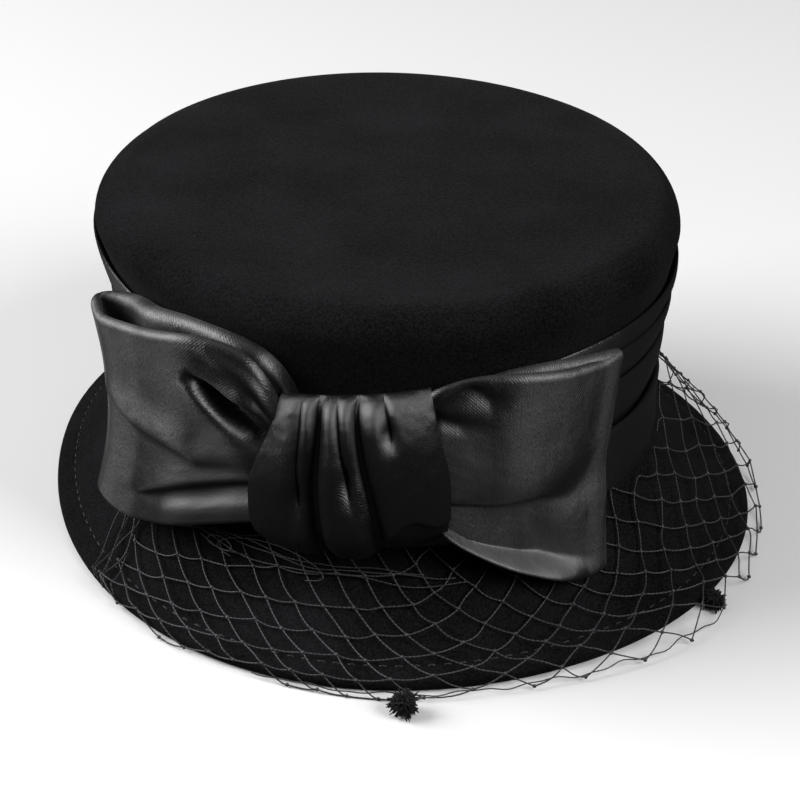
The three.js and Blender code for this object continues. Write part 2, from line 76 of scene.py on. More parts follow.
# Satin: the cloth's thickness, the band's drift, its dip at the bow and climb at the left, and the bow's place
# on the crown
SATIN, BAND_CLOTH = 1.0, 0.45
BAND_TOP, BAND_FOOT, BAND_HEM = 94.5, 28.6, 32.5
BAND_DRIFT, BAND_PHASE, BAND_DIP, BAND_DIP_SPREAD = 3.5, 35.0, 12.0, 26.0
BAND_CLIMB, BAND_CLIMB_BEARING, BAND_CLIMB_SPREAD = 7.0, -115.0, 40.0
# Heights over which the band starts and stops drifting, how far down and off the crown its turned-in top edge lies,
# and its ripple with the stand-off over which that grows
BAND_FREE = ((BAND_FOOT, 40.0), (84.0, 95.0))
BAND_TURN_IN, BAND_RIPPLE, BAND_RIPPLE_FROM = (3.5, 0.35), 0.3, (1.4, 2.2)
BOW_BEARING, BOW_HEIGHT, BOW_LEAN, KNOT_TILT = -32.0, 63.0, 76.0, 3.0

# Pleats of the band: height of the folded upper edge, and how far the satin stands off below it
PLEATS = ((BAND_TOP, 2.0), (83.0, 2.6), (72.0, 2.9), (54.0, 4.4))
# One pleat's section from its fold down: share of the way to the next fold, millimetres above that, and the
# stand-off as a share of the pleat's own plus a length. The last rows turn back up behind the next fold.
PLEAT_FORM = np.array([
    # down, above, share, plus
    (0.0, -1.8, 0.5, 0.0), (0.0, -0.3, 0.66, 0.0), (0.0, 0.1, 0.84, 0.0), (0.0, -1.0, 0.98, 0.0),
    (0.3, 0.0, 1.05, 0.0), (0.62, 0.0, 0.97, 0.0), (0.88, 0.0, 0.7, 0.0),
    (1.0, 0.0, 0.0, 1.3), (1.0, -3.2, 0.0, 0.7), (1.0, -4.4, 0.0, 0.9),
])
# How the last pleat ends: it swells and its lower edge rolls under
PLEAT_END = np.array([
    # down, above, share, plus
    (0.62, 0.0, 1.12, 0.0), (0.86, 0.0, 1.18, 0.0), (1.0, 0.0, 1.0, 0.0), (1.0, -0.3, 0.7, 0.0),
    (1.0, 0.8, 0.4, 0.0),
])

# Bow loops. side is the way a loop points from the knot. top_span, foot_span and waist are the degrees of bearing
# it reaches at its top and foot, and loses half way up. stand_off and half_gap place its two layers, and fuller
# is how much wider they part at the tip. top, corner_lift, foot_curve, foot_out and flare shape its edges.
# front_rise and back_rise are where its top starts to climb from the knot and over what length. mouth is how far
# the front's edge sinks to open it, pinch how far its tip is pressed in half way up, back_roll the cloth rolled
# over at the back, and hem_round how much of the hem's roll goes on round the tip.
LOOPS = {
    "bow_loop_left": dict(
        side=-1, top_span=48.8, foot_span=56.0, waist=3.2, stand_off=17.5, half_gap=8.0, fuller=2.2,
        top=102.0, corner_lift=9.0, foot_curve=1.0, foot_out=2.5, flare=1.0,
        front_rise=(0.19, 0.085), back_rise=(0.155, 0.075),
        mouth=3.6, pinch=2.5, back_roll=9.0, hem_round=0.0),
    "bow_loop_right": dict(
        side=1, top_span=47.6, foot_span=46.2, waist=0.8, stand_off=15.5, half_gap=4.5, fuller=0.45,
        top=97.0, corner_lift=0.5, foot_curve=0.65, foot_out=4.2, flare=2.0,
        front_rise=(0.17, 0.13), back_rise=(0.3, 0.2),
        mouth=1.6, pinch=0.5, back_roll=6.0, hem_round=1.0),
}
# Height of a loop's foot, rise of its top beside the knot, its clearance over the brim and swell beside the knot
LOOP_FOOT, LOOP_CREST, LOOP_CLEARANCE, LOOP_PUFF = 14.0, 3.0, 3.9, 3.0
# How near the two layers may come and the back layer to the crown, and how softly a deep fold is held there
LOOP_LAYERS_APART, LOOP_LEAST_APART, LOOP_BEHIND, LOOP_EASE = 1.2, 0.5, 6.4, 0.5
# Shares of the way from the knot to the tip: where the loop leaves the knot and its foot starts to drop, and where
# it opens, swells, folds, sinks at the mouth and rounds the tip
LOOP_LEAVES, LOOP_DROPS, LOOP_SHUT = 0.22, 0.28, 0.25
LOOP_OPENS, LOOP_FOLDED_FROM, LOOP_TIP_FROM = (0.27, 0.62), (0.1, 0.26), (0.75, 1.0)
LOOP_PUFF_FROM, LOOP_MOUTH_FROM = ((0.05, 0.25), (0.25, 0.5)), ((0.5, 0.8), (0.92, 1.0))
# Where the loops start under the knot: degrees from its middle, stand-off and half height; and how much closer the
# rows of points lie towards the edges
LOOP_ROOT_SPAN, LOOP_ROOT_OFF, LOOP_ROOT_HALF, EDGE_CROWDING = 3.0, 8.2, 22.0, 0.6
# Rolled edges: how much cloth rolls over and by how many degrees, and how the back's roll narrows near the crown
FRONT_ROLL, FRONT_ROLL_TURN, BACK_ROLL_TURN, FOOT_ROLL, FOOT_ROLL_TURN = 3.2, 100.0, 150.0, 4.5, 85.0
BACK_ROLL_FROM, BACK_ROLL_OVER, BACK_ROLL_LEAST = 0.8, 6.4, 0.5
# Length and width over which the weave is drawn on a loop and on the knot
LOOP_STRIP, KNOT_STRIP = (200, 90), (100, 95)
# Folds of the loops' fronts. path gives points (along, across) from the knot outwards and from foot to top. rise is
# how far the fold stands out, above and below its half widths, and step lets the panel above the line overhang the
# one below, all in millimetres. fades is how far along it rises and dies out, and taper how much narrower it ends
# than it starts.
PLAIN_FOLD = dict(step=0.0, fades=(0.12, 0.14), taper=1.0)
FOLD_TAIL, STEP_SOFTNESS = 0.08, 1.3
LOOP_FOLDS = {
    "bow_loop_left": (
        dict(path=((0.26, 0.61), (0.33, 0.6), (0.42, 0.66), (0.53, 0.785)),
             rise=-11.0, above=7.0, below=3.4, fades=(0.12, 0.03), taper=0.4),
        dict(path=((0.26, 0.53), (0.33, 0.53), (0.42, 0.61), (0.49, 0.69), (0.55, 0.76)),
             rise=1.8, above=2.4, below=7.0, fades=(0.12, 0.06)),
        dict(path=((0.22, 0.73), (0.27, 0.735), (0.33, 0.75)), rise=3.6, above=3.6, below=3.6),
        dict(path=((0.21, 0.87), (0.28, 0.885), (0.36, 0.9), (0.46, 0.935)), rise=1.8, above=2.2, below=3.0),
        dict(path=((0.5, 0.415), (0.6, 0.485), (0.71, 0.535), (0.88, 0.62)),
             rise=1.9, above=7.0, below=2.4, step=0.5, fades=(0.34, 0.14)),
        dict(path=((0.24, 0.315), (0.4, 0.28), (0.55, 0.255), (0.72, 0.2)),
             rise=0.0, above=9.0, below=13.0, step=4.6),
        dict(path=((0.24, 0.15), (0.45, 0.13), (0.62, 0.12)), rise=1.8, above=3.6, below=5.0),
    ),
    "bow_loop_right": (
        dict(path=((0.27, 0.885), (0.355, 0.925), (0.42, 0.915), (0.47, 0.87)),
             rise=-2.5, above=2.8, below=4.2, fades=(0.12, 0.1)),
        dict(path=((0.26, 0.77), (0.3, 0.76), (0.37, 0.738)), rise=-2.2, above=3.0, below=3.0),
        dict(path=((0.24, 0.205), (0.42, 0.25), (0.62, 0.36), (0.72, 0.4)),
             rise=0.0, above=13.0, below=60.0, step=5.0),
        dict(path=((0.45, 0.22), (0.62, 0.31), (0.8, 0.41), (0.95, 0.5)), rise=-2.4, above=8.0, below=7.0),
        dict(path=((0.24, 0.09), (0.48, 0.09), (0.7, 0.1)),
             rise=-5.0, above=15.0, below=3.2, fades=(0.12, 0.24)),
        dict(path=((0.24, 0.09), (0.55, 0.1), (0.86, 0.12)), rise=-3.0, above=17.0, below=3.4),
        dict(path=((0.24, 0.0), (0.5, 0.0), (0.78, 0.0)), rise=4.2, above=3.4, below=5.0, fades=(0.12, 0.22)),
    ),
}

# Knot: half its width at the foot and the top and the shift of its top, in degrees; then in millimetres its half
# height, sag and stand-off behind and in front, the fall of its sides, its size laid flat, and its swell
KNOT_SPAN, KNOT_TOP_SPAN, KNOT_TOP_SHIFT = 16.5, 12.8, 1.0
KNOT_HALF_HEIGHT, KNOT_SAG, KNOT_BACK, KNOT_FRONT = 27.5, 3.0, 6.0, 22.5
KNOT_FULLNESS, KNOT_SIDE_DROP, KNOT_WIDTH, KNOT_HEIGHT, KNOT_SCALLOP = 0.7, 0.3, 64.0, 78.0, 0.5
KNOT_SWELL, KNOT_SWELL_TURN, KNOT_SWELL_SPREAD, KNOT_PROUD = 2.4, 0.72, 0.17, 0.6
# Creases between the knot's gathers: path gives points (turn, share), from its top over its front and from
# left to right; depth, half of its flat bottom and the widths of its sides in millimetres; fades is where it
# dies out.
KNOT_CREASES = (
    dict(path=((0.04, 0.165), (0.25, 0.185), (0.43, 0.24), (0.64, 0.28)),
         depth=4.0, flat=0.2, left=7.0, right=4.5, fades=(0.5, 0.68)),
    dict(path=((0.04, 0.285), (0.25, 0.29), (0.42, 0.325), (0.62, 0.355), (0.9, 0.385)),
         depth=9.0, flat=1.3, left=5.0, right=5.5, fades=(0.97, 1.0)),
    dict(path=((0.04, 0.4), (0.24, 0.425), (0.41, 0.48), (0.58, 0.545)),
         depth=5.0, flat=0.3, left=5.0, right=5.0, fades=(0.46, 0.62)),
    dict(path=((0.04, 0.535), (0.24, 0.53), (0.41, 0.575), (0.62, 0.635), (0.85, 0.65)),
         depth=9.0, flat=1.1, left=5.0, right=7.0, fades=(0.95, 1.0)),
    dict(path=((0.03, 0.7), (0.15, 0.715), (0.27, 0.74), (0.38, 0.76)),
         depth=5.0, flat=0.3, left=6.0, right=3.0, fades=(0.24, 0.36)),
)
# Dents at the ends of three creases: place (turn, share), depth and half sizes in millimetres
KNOT_DENTS = (
    dict(turn=0.56, share=0.262, depth=1.9, wide=2.6, tall=7.0),
    dict(turn=0.47, share=0.5, depth=2.4, wide=2.6, tall=7.0),
    dict(turn=0.27, share=0.72, depth=1.6, wide=2.6, tall=5.0),
)
# The hem under the knot's last gather lifts clear: points (share, turn) of its edge, and how far it recedes
KNOT_ARCH = dict(path=((0.68, 0.77), (0.74, 0.655), (0.82, 0.615), (0.93, 0.665)), depth=4.0)

# Net: thickness of its thread and how far it lies above the brim and out from the crown, the size of its knots,
# and how unevenly it lies
NET_THREAD, NET_SLACK_THREAD, NET_LEVEL, NET_TUCK, NET_OFF_BAND, NET_HEM = 0.24, 0.204, 1.7, 1.6, 2.4, 0.9
NET_KNOT, NET_KNOT_REACH = 0.62, 0.75
NET_BEARING_SPREAD, NET_DOWN_SPREAD, NET_LIFT, NET_SAG = 0.25, 0.008, (-0.35, 0.9), 0.5
NET_RUN_SPREAD = (0.22, 0.006)
# How its crossings are found: steps over which the lie is eased, share of the brim along which it is summed, and
# Newton's rounds, step, least turn and the miss that is near enough
NET_EASE, NET_MIDDLE = 22, 0.68
NEWTON_ROUNDS, NEWTON_STEP, LEAST_TURN, NEAR_ENOUGH = 8, 0.05, 1e-5, 0.02
VEIL_LENGTH, VEIL_LAST = 49.0, 1.03
VEIL_INNER_START, VEIL_OUTER_START, VEIL_END = -91.0, -74.0, 106.0
VEIL_EDGE, VEIL_TURN = 5 / 6, 0.55
# How the veil hangs: bearing, overhang past the brim's edge, bulge above it and lift up the band
VEIL_SECTIONS = np.array([
    (-95, 1.4, 0.8, 0), (-50, 1.6, 1.0, 0), (-15, 5, 1.8, 0), (22, 12, 5, 0), (50, 5, 2, 4), (75, 3, 4, 24),
    (110, 3, 7, 36),
], float)
# Lie of the two sets of threads, in degrees from the line that leads straight out from the crown, and the
# space between the threads of each set in millimetres
NET_LIE = np.array([
    # bearing, lie one, lie two, space one, space two
    (-95, 104, 62, 8.6, 7.4), (-66, 104, 62, 8.4, 7.2), (-50, 97, 52, 8.2, 7.2), (-38, 93, 46, 8.2, 7.4),
    (-27, 92, 40, 8.4, 8.0), (-15, 120, 59, 8.8, 8.6), (-5, 127, 56, 9.0, 8.8), (8, 122, 54, 9.0, 8.4),
    (20, 128, 62, 9.0, 8.2), (31, 132, 64, 8.8, 8.4), (45, 119, 56, 8.4, 8.8), (62, 104, 46, 8.2, 9.0),
    (80, 90, 34, 8.2, 9.0), (112, 72, 16, 8.4, 9.0),
], float)
# Threads of the gathered inner edge that run beside the bow: first and last bearing, place, waves
GATHERED = np.array([
    # from, to, down, wave, turns, lift
    (-80, -14, 0.16, 0.008, 2.2, 0.4), (-72, -12, 0.2, 0.01, 1.6, 0.6), (-60, -20, 0.14, 0.008, 1.4, 0.3),
    (2, 24, 0.08, 0.012, 1.2, 0.6), (-47, 30, 0.96, 0.012, 6.5, 0.0),
])
# Strands drawn together down the veil's left side: bearing at the band and at the edge, sway
LEFT_BUNCH = np.array([
    (-88, -76.5, 1.2), (-86, -75.5, -1.0), (-85, -74.0, 1.6), (-84, -75.0, -1.8), (-82.5, -72.5, 1.0),
    (-90, -77.5, 0.8),
])
# Slack hoops of thread: bearing, place, width in degrees, rise in millimetres, lean
HOOPS = np.array([
    (-60, 0.2, 12.0, 5.0, 0.8), (-50, 0.24, 15.0, 3.0, -1.0), (-78, 0.2, 8.0, 3.0, 1.0),
])
DOTS = {
    "veil_dot_front": dict(bearing=-25.3, beyond=10.8, radius=4.6, fibres=520),
    "veil_dot_side": dict(bearing=30.0, beyond=4.6, radius=3.6, fibres=380),
}
DOT_SCATTER, DOT_CORE, DOT_FIBRE, DOT_CURL, DOT_DROOP, DOT_FLOOR = 0.22, 0.62, 0.42, 0.5, 0.5, 0.3


# Working out points

def lerp(a, b, share):
    return a + (b - a) * share


def smooth(value, start, end):
    """0 below start, 1 above end, and an S-curve between."""
    t = np.clip((value - start) / (end - start), 0.0, 1.0)
    return t * t * (3 - 2 * t)


def between(value, rise, fall):
    """Rises over the first range of a value and falls over the second."""
    return smooth(value, *rise) * (1 - smooth(value, *fall))


def bell(value):
    return np.exp(-(value**2))


def half_turn(bearing):
    """A bearing brought to between -180 and 180 degrees."""
    return (bearing + 180) % 360 - 180


def unit(vectors):
    return vectors / np.maximum(np.linalg.norm(vectors, axis=-1, keepdims=True), 1e-9)


def run_along(points):
    """The length of each path up to each of its points."""
    steps = np.linalg.norm(np.diff(points, axis=-2), axis=-1)
    return np.concatenate([0 * steps[..., :1], np.cumsum(steps, axis=-1)], axis=-1)


def pairs(first, second):
    """Every pair of two rows of numbers, as a grid."""
    return np.stack(np.meshgrid(first, second, indexing="ij"), -1)


def curve_through(points, value):
    """The lowest polynomial through a few (value, result) points, read at value."""
    known, result = np.array(points, float).T
    return np.polyval(np.polyfit(known, result, len(known) - 1), value)


def spline(points, samples):
    """A rounded path through rows of points: each span is a cubic whose ends lean along their neighbours."""
    points = np.asarray(points, float)
    padded = np.concatenate([2 * points[:1] - points[1:2], points, 2 * points[-1:] - points[-2:-1]])
    place = np.linspace(0, len(points) - 1, samples)
    span = np.minimum(place.astype(int), len(points) - 2)
    t = (place - span)[:, None]
    p0, p1, p2, p3 = (padded[span + k] for k in range(4))
    bends = (2 * p0 - 5 * p1 + 4 * p2 - p3) * t**2 + (3 * p1 - p0 - 3 * p2 + p3) * t**3
    return 0.5 * (2 * p1 + (p2 - p0) * t + bends)


def oval_point(oval, bearing, height, stand_off=0.0):
    """A point of an oval at a bearing, at a height, moved off it along its outward normal."""
    angle = np.radians(bearing)
    width, length, angle, height, stand_off = np.broadcast_arrays(oval[0], oval[1], angle, height, stand_off)
    out_x, out_y = length * np.sin(angle), -width * np.cos(angle)
    size = np.maximum(np.hypot(out_x, out_y), 1e-9)
    x = width * np.sin(angle) + stand_off * out_x / size
    y = -length * np.cos(angle) + stand_off * out_y / size
    return np.stack([x, y, height + 0 * angle], -1)


def wall_oval(height):
    """The crown's outer oval at a height: upright below its foot, then a hollow flare."""
    rise = (np.maximum(0, height - JOINT_HEIGHT) / (SHOULDER_HEIGHT - JOINT_HEIGHT)) ** WALL_CURVE
    return lerp(FOOT[0], TIP[0], rise), lerp(FOOT[1], TIP[1], rise)


def on_brim(share, bearing, height):
    """A point between the crown's foot (share 0) and the brim's blunted oval edge (share 1)."""
    share, bearing, height = np.broadcast_arrays(share, bearing, height)
    turn = np.minimum(np.abs(half_turn(bearing)), BLUNT_END)
    blunt = 1 - EDGE_BLUNTNESS * np.cos(3 * np.radians(turn))
    outer = oval_point((EDGE[0] * blunt, EDGE[1] * blunt), bearing, height)
    return lerp(oval_point(FOOT, bearing, height), outer, share[..., None])


def brim_reach(bearing):
    return np.linalg.norm(on_brim(1.0, bearing, 0.0) - on_brim(0.0, bearing, 0.0), axis=-1)


def brim_top(share):
    """The brim's upper face: steep at the crown, flattening towards the edge."""
    return EDGE_TOP + (JOINT_HEIGHT - SEAM_GAP - EDGE_TOP) * np.maximum(0, 1 - share) ** BRIM_CURVE


def normals_of(grid, closed_rows=False):
    """Unit normals of a grid of points, from the differences between neighbours."""
    if closed_rows:
        wide = np.concatenate([grid[-1:], grid, grid[:1]])
        along = np.gradient(wide, axis=0)[1:-1]
    else:
        along = np.gradient(grid, axis=0)
    return unit(np.cross(along, np.gradient(grid, axis=1)))


# Making pieces

QUAD = ((0, 0), (0, 1), (1, 1), (1, 0))
NEAR_UPRIGHT = (0.13, 0.21, 0.97)
UV_NAME = "cloth"


def new_object(name, data):
    made = bpy.data.objects.new(name, data)
    bpy.context.scene.collection.objects.link(made)
    return made


def mesh_piece(name, points, faces, uv, material):
    """An object from points in millimetres, faces and one UV pair per face corner, turned to face outwards."""
    fan = [(f[:, 0], f[:, k], f[:, k + 1]) for f in faces for k in range(1, f.shape[1] - 1)]
    volume = sum((points[a] * np.cross(points[b], points[c])).sum() for a, b, c in fan)
    if volume < 0:
        faces = [f[:, ::-1] for f in faces]
        uv = [u[:, ::-1] for u in uv]
    mesh = bpy.data.meshes.new(name)
    mesh.from_pydata((points / 1000 + HAT_AXIS).tolist(), [], [row for f in faces for row in f.tolist()])
    layer = mesh.uv_layers.new(name=UV_NAME)
    layer.data.foreach_set("uv", np.concatenate([u.reshape(-1) for u in uv]).astype(np.float32))
    mesh.materials.append(material)
    mesh.polygons.foreach_set("use_smooth", np.ones(len(mesh.polygons), bool))
    work = bmesh.new()
    work.from_mesh(mesh)
    bmesh.ops.remove_doubles(work, verts=work.verts, dist=1e-7)
    work.to_mesh(mesh)
    work.free()
    piece = new_object(name, mesh)
    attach(piece, "root")
    return piece


def skin(name, grid, uv, material, closed_rows=False, closed_columns=False):
    """A skin over a grid of points. uv has one more row or column than the grid where it closes on itself."""
    rows, columns = grid.shape[:2]
    row_steps = np.arange(rows if closed_rows else rows - 1)
    column_steps = np.arange(columns if closed_columns else columns - 1)
    r, c = np.meshgrid(row_steps, column_steps, indexing="ij")
    corners = [(r + i, c + j) for i, j in QUAD]
    faces = np.stack([(i % rows) * columns + j % columns for i, j in corners], -1).reshape(-1, 4)
    corner_uv = np.stack([uv[i, j] for i, j in corners], -2).reshape(-1, 4, 2)
    return mesh_piece(name, grid.reshape(-1, 3), [faces], [corner_uv], material)


def cloth_piece(name, middle, uv, thickness, material, closed_rows=False):
    """Cloth of a thickness about a middle surface. Across the strip it runs up the front, round the edge in a
    half circle, down the back and round again; an open strip is drawn to nothing at both ends."""
    rim = np.radians(np.arange(30, 180, 30))[:, None]
    normal = normals_of(middle, closed_rows)
    half = np.full((len(middle), 1, 1), thickness / 2)
    if not closed_rows:
        half[[0, -1]] = 0
    ends = []
    for here, inside in ((-1, -2), (0, 1)):
        outward = unit(middle[:, here] - middle[:, inside])
        sign = 1 if here == -1 else -1
        turned = np.cos(rim) * sign * normal[:, here, None] + np.sin(rim) * outward[:, None]
        ends.append(middle[:, here, None] + half * turned)
    front, back = middle + half * normal, middle - half * normal
    grid = np.concatenate([front, ends[0], back[:, ::-1], ends[1]], axis=1)
    edge_uv = [np.repeat(uv[:, k, None], len(rim), axis=1) for k in (-1, 0)]
    full_uv = np.concatenate([uv, edge_uv[0], uv[:, ::-1], edge_uv[1], uv[:, :1]], axis=1)
    return skin(name, grid, full_uv, material, closed_rows=closed_rows, closed_columns=True)


def thread_piece(name, bundles, material, sides=6):
    """Round threads along paths. Each bundle is paths (count, points, 3) with their radii (count, points); the
    ring at a point lies across the path, and both ends are shut."""
    points, quads, quad_uv, caps, cap_uv, start = [], [], [], [], [], 0
    around = np.linspace(0, 2 * np.pi, sides, endpoint=False)
    for paths, radii in bundles:
        count, long = paths.shape[:2]
        along = unit(np.gradient(paths, axis=1))
        side = unit(np.cross(along, NEAR_UPRIGHT))
        over = np.cross(side, along)
        ring = np.cos(around)[:, None] * side[:, :, None] + np.sin(around)[:, None] * over[:, :, None]
        points.append((paths[:, :, None] + radii[:, :, None, None] * ring).reshape(-1, 3))
        n, r, c = np.meshgrid(np.arange(count), np.arange(long - 1), np.arange(sides), indexing="ij")
        corners = [(r + i, c + j) for i, j in QUAD]
        index = [start + (n * long + i) * sides + j % sides for i, j in corners]
        quads.append(np.stack(index, -1).reshape(-1, 4))
        run = run_along(paths)
        corner_uv = [np.stack([run[n, i], j / sides], -1) for i, j in corners]
        quad_uv.append(np.stack(corner_uv, -2).reshape(-1, 4, 2))
        first = start + np.arange(count)[:, None] * long * sides + np.arange(sides)[::-1]
        last = start + (np.arange(count)[:, None] + 1) * long * sides - sides + np.arange(sides)
        caps += [first, last]
        cap_uv += [np.zeros((count, sides, 2))] * 2
        start += count * long * sides
    joined = [np.concatenate(quads), np.concatenate(caps)]
    joined_uv = [np.concatenate(quad_uv), np.concatenate(cap_uv)]
    return mesh_piece(name, np.concatenate(points), joined, joined_uv, material)


# Materials

def linear(hex_colour):
    """An sRGB hex colour as linear red, green, blue and full alpha."""
    parts = np.array([int(hex_colour[k:k + 2], 16) for k in (1, 3, 5)]) / 255
    return (*np.where(parts <= 0.04045, parts / 12.92, ((parts + 0.055) / 1.055) ** 2.4).tolist(), 1.0)


def add(tree, kind, inputs=None, **settings):
    """Adds a node with its settings; an input is a value, or the socket that feeds it."""
    node = tree.nodes.new(kind)
    for key, value in settings.items():
        setattr(node, key, value)
    for key, value in (inputs or {}).items():
        if isinstance(value, bpy.types.NodeSocket):
            tree.links.new(value, node.inputs[key])
        else:
            node.inputs[key].default_value = value
    return node


def new_material(name):
    """An empty node material and its tree."""
    material = bpy.data.materials.new(name)
    material.use_nodes = True
    material.node_tree.nodes.clear()
    return material, material.node_tree


def two_tones(tree, factor, dark, light, low, high):
    """A ramp from a dark to a light colour over a range of a pattern."""
    ramp = add(tree, "ShaderNodeValToRGB", {"Fac": factor})
    for stop, place, colour in zip(ramp.color_ramp.elements, (low, high), (dark, light)):
        stop.position = place
        stop.color = linear(colour)
    return ramp.outputs["Color"]


def noise(tree, place, scale, detail, roughness):
    """A cloudy pattern over a place."""
    inputs = {"Vector": place, "Scale": scale, "Detail": detail, "Roughness": roughness}
    return add(tree, "ShaderNodeTexNoise", inputs).outputs["Fac"]


def stripes(tree, place, apart, **inputs):
    """Soft stripes across a place, at a distance from each other; a wave node repeats every 2 pi / 20."""
    inputs = {"Vector": place, "Scale": 2 * np.pi / 20 / apart, **inputs}
    return add(tree, "ShaderNodeTexWave", inputs, wave_type="BANDS", bands_direction="X").outputs["Fac"]


def mapped(tree, place, **inputs):
    return add(tree, "ShaderNodeMapping", {"Vector": place, **inputs}).outputs["Vector"]


def weighted(tree, value, share, plus=0.0):
    """A share of a value, plus another value."""
    return add(tree, "ShaderNodeMath", {0: value, 1: share, 2: plus}, operation="MULTIPLY_ADD").outputs[0]


def bumped(tree, height, strength, distance, **inputs):
    """The normal of a surface that a pattern raises by a distance."""
    inputs = {"Height": height, "Strength": strength, "Distance": distance, **inputs}
    return add(tree, "ShaderNodeBump", inputs).outputs["Normal"]


def sheen(weight, roughness, tint):
    return {"Sheen Weight": weight, "Sheen Roughness": roughness, "Sheen Tint": linear(tint)}


def finish_material(tree, colour, roughness, inputs):
    """The surface shader with its inputs, led to the output."""
    inputs = {"Base Color": colour, "Roughness": roughness, **inputs}
    shader = add(tree, "ShaderNodeBsdfPrincipled", inputs)
    add(tree, "ShaderNodeOutputMaterial", {"Surface": shader.outputs["BSDF"]})


def wool_felt():
    """Wool felt, blocked over a form and brushed: a mat of short fibres that takes all gloss away and shows a
    fine grain, slightly cloudy where the steam raised the nap. Fibres of 0.03 mm are drawn as a 0.8 mm grain
    because finer ones don't show at this distance; the clouds are 30 mm wide."""
    material, tree = new_material("wool_felt_blocked_black")
    place = add(tree, "ShaderNodeTexCoord").outputs["Object"]
    grain = noise(tree, place, 1 / 0.0008, 3.0, 0.65)
    nap = noise(tree, place, 1 / 0.030, 2.0, 0.5)
    blend = weighted(tree, grain, 0.7, weighted(tree, nap, 0.3))
    finish_material(tree, two_tones(tree, blend, "#070708", "#1c1c1e", 0.39, 0.62), 0.95, {
        "IOR": 1.5, "Specular IOR Level": 0.06, **sheen(0.04, 0.45, "#d8d8dc"),
        "Normal": bumped(tree, grain, 0.5, 0.0004),
    })
    return material


def duchesse_satin():
    """Polyester duchesse satin: long floats of bright yarn give broad soft highlights along the folds, broken
    into fine sparks by the weave, with faint diagonal twill lines. Floats 0.2 mm apart are drawn 0.75 mm
    apart so that they show."""
    material, tree = new_material("polyester_satin_woven_black")
    cloth = add(tree, "ShaderNodeUVMap", uv_map=UV_NAME).outputs["UV"]
    turned = mapped(tree, cloth, Rotation=(0.0, 0.0, 0.6))
    twill = stripes(tree, turned, 0.75, Distortion=0.6, Detail=1.0, **{"Detail Scale": 3.0})
    slubs = noise(tree, mapped(tree, cloth, Scale=(1.0, 0.4, 1.0)), 1.6, 3.0, 0.7)
    soft = noise(tree, cloth, 0.07, 2.0, 0.45)
    weave = weighted(tree, twill, 0.2, slubs)
    warp = add(tree, "ShaderNodeTangent", direction_type="UV_MAP", uv_map=UV_NAME)
    gloss = add(tree, "ShaderNodeMapRange", {
        "Value": slubs, "From Min": 0.3, "From Max": 0.7, "To Min": 0.35, "To Max": 0.49})
    drape = bumped(tree, soft, 0.35, 0.0025)
    finish_material(tree, two_tones(tree, slubs, "#0b0b0c", "#161618", 0.35, 0.7), gloss.outputs["Result"], {
        "IOR": 1.58, "Specular IOR Level": 0.9,
        "Anisotropic": 0.85, "Anisotropic Rotation": 0.25, "Tangent": warp.outputs["Tangent"],
        "Normal": bumped(tree, weave, 0.4, 0.0003, Normal=drape),
    })
    return material


def net_thread(name, dark, light):
    """Twisted thread of nylon or polyester: two plies wound round each other. Where the plies would catch the light
    the colour is painted lighter in small dashes, a painted highlight drawn 1.4 mm long so that it shows."""
    material, tree = new_material(name)
    cloth = add(tree, "ShaderNodeUVMap", uv_map=UV_NAME).outputs["UV"]
    plies = mapped(tree, cloth, Scale=(1 / 1.4, 1.0, 1.0), Rotation=(0.0, 0.0, 0.35))
    painted_glints = stripes(tree, plies, 1.0, Distortion=0.4)
    # Painted highlight: the lighter colour is the glint of the twisted plies, the darker is the thread's own black
    finish_material(tree, two_tones(tree, painted_glints, dark, light, 0.2, 0.8), 0.5, {
        "IOR": 1.53, "Specular IOR Level": 0.5, **sheen(0.15, 0.4, "#dcdce0"),
    })
    return material


def chenille_pile():
    """Rayon chenille, its pile cut and fluffed: velvety, deep black inside and lighter at the fibre tips. Tufts
    are 1.4 mm wide."""
    material, tree = new_material("rayon_chenille_cut_black")
    place = add(tree, "ShaderNodeTexCoord").outputs["Object"]
    tufts = noise(tree, place, 1 / 0.0014, 2.0, 0.6)
    finish_material(tree, two_tones(tree, tufts, "#0c0c0d", "#232324", 0.35, 0.7), 0.9, {
        "IOR": 1.5, "Specular IOR Level": 0.25, **sheen(0.3, 0.4, "#cfcfd4"),
    })
    return material


felt = wool_felt()
satin = duchesse_satin()
# Each thread's first colour is its own black; the second is a painted highlight, the glint of its twisted plies
netting = net_thread("nylon_net_thread_black", "#1f1f21", "#434346")
sewing = net_thread("polyester_sewing_thread_black", "#101011", "#1e1e20")
chenille = chenille_pile()


# Felt body

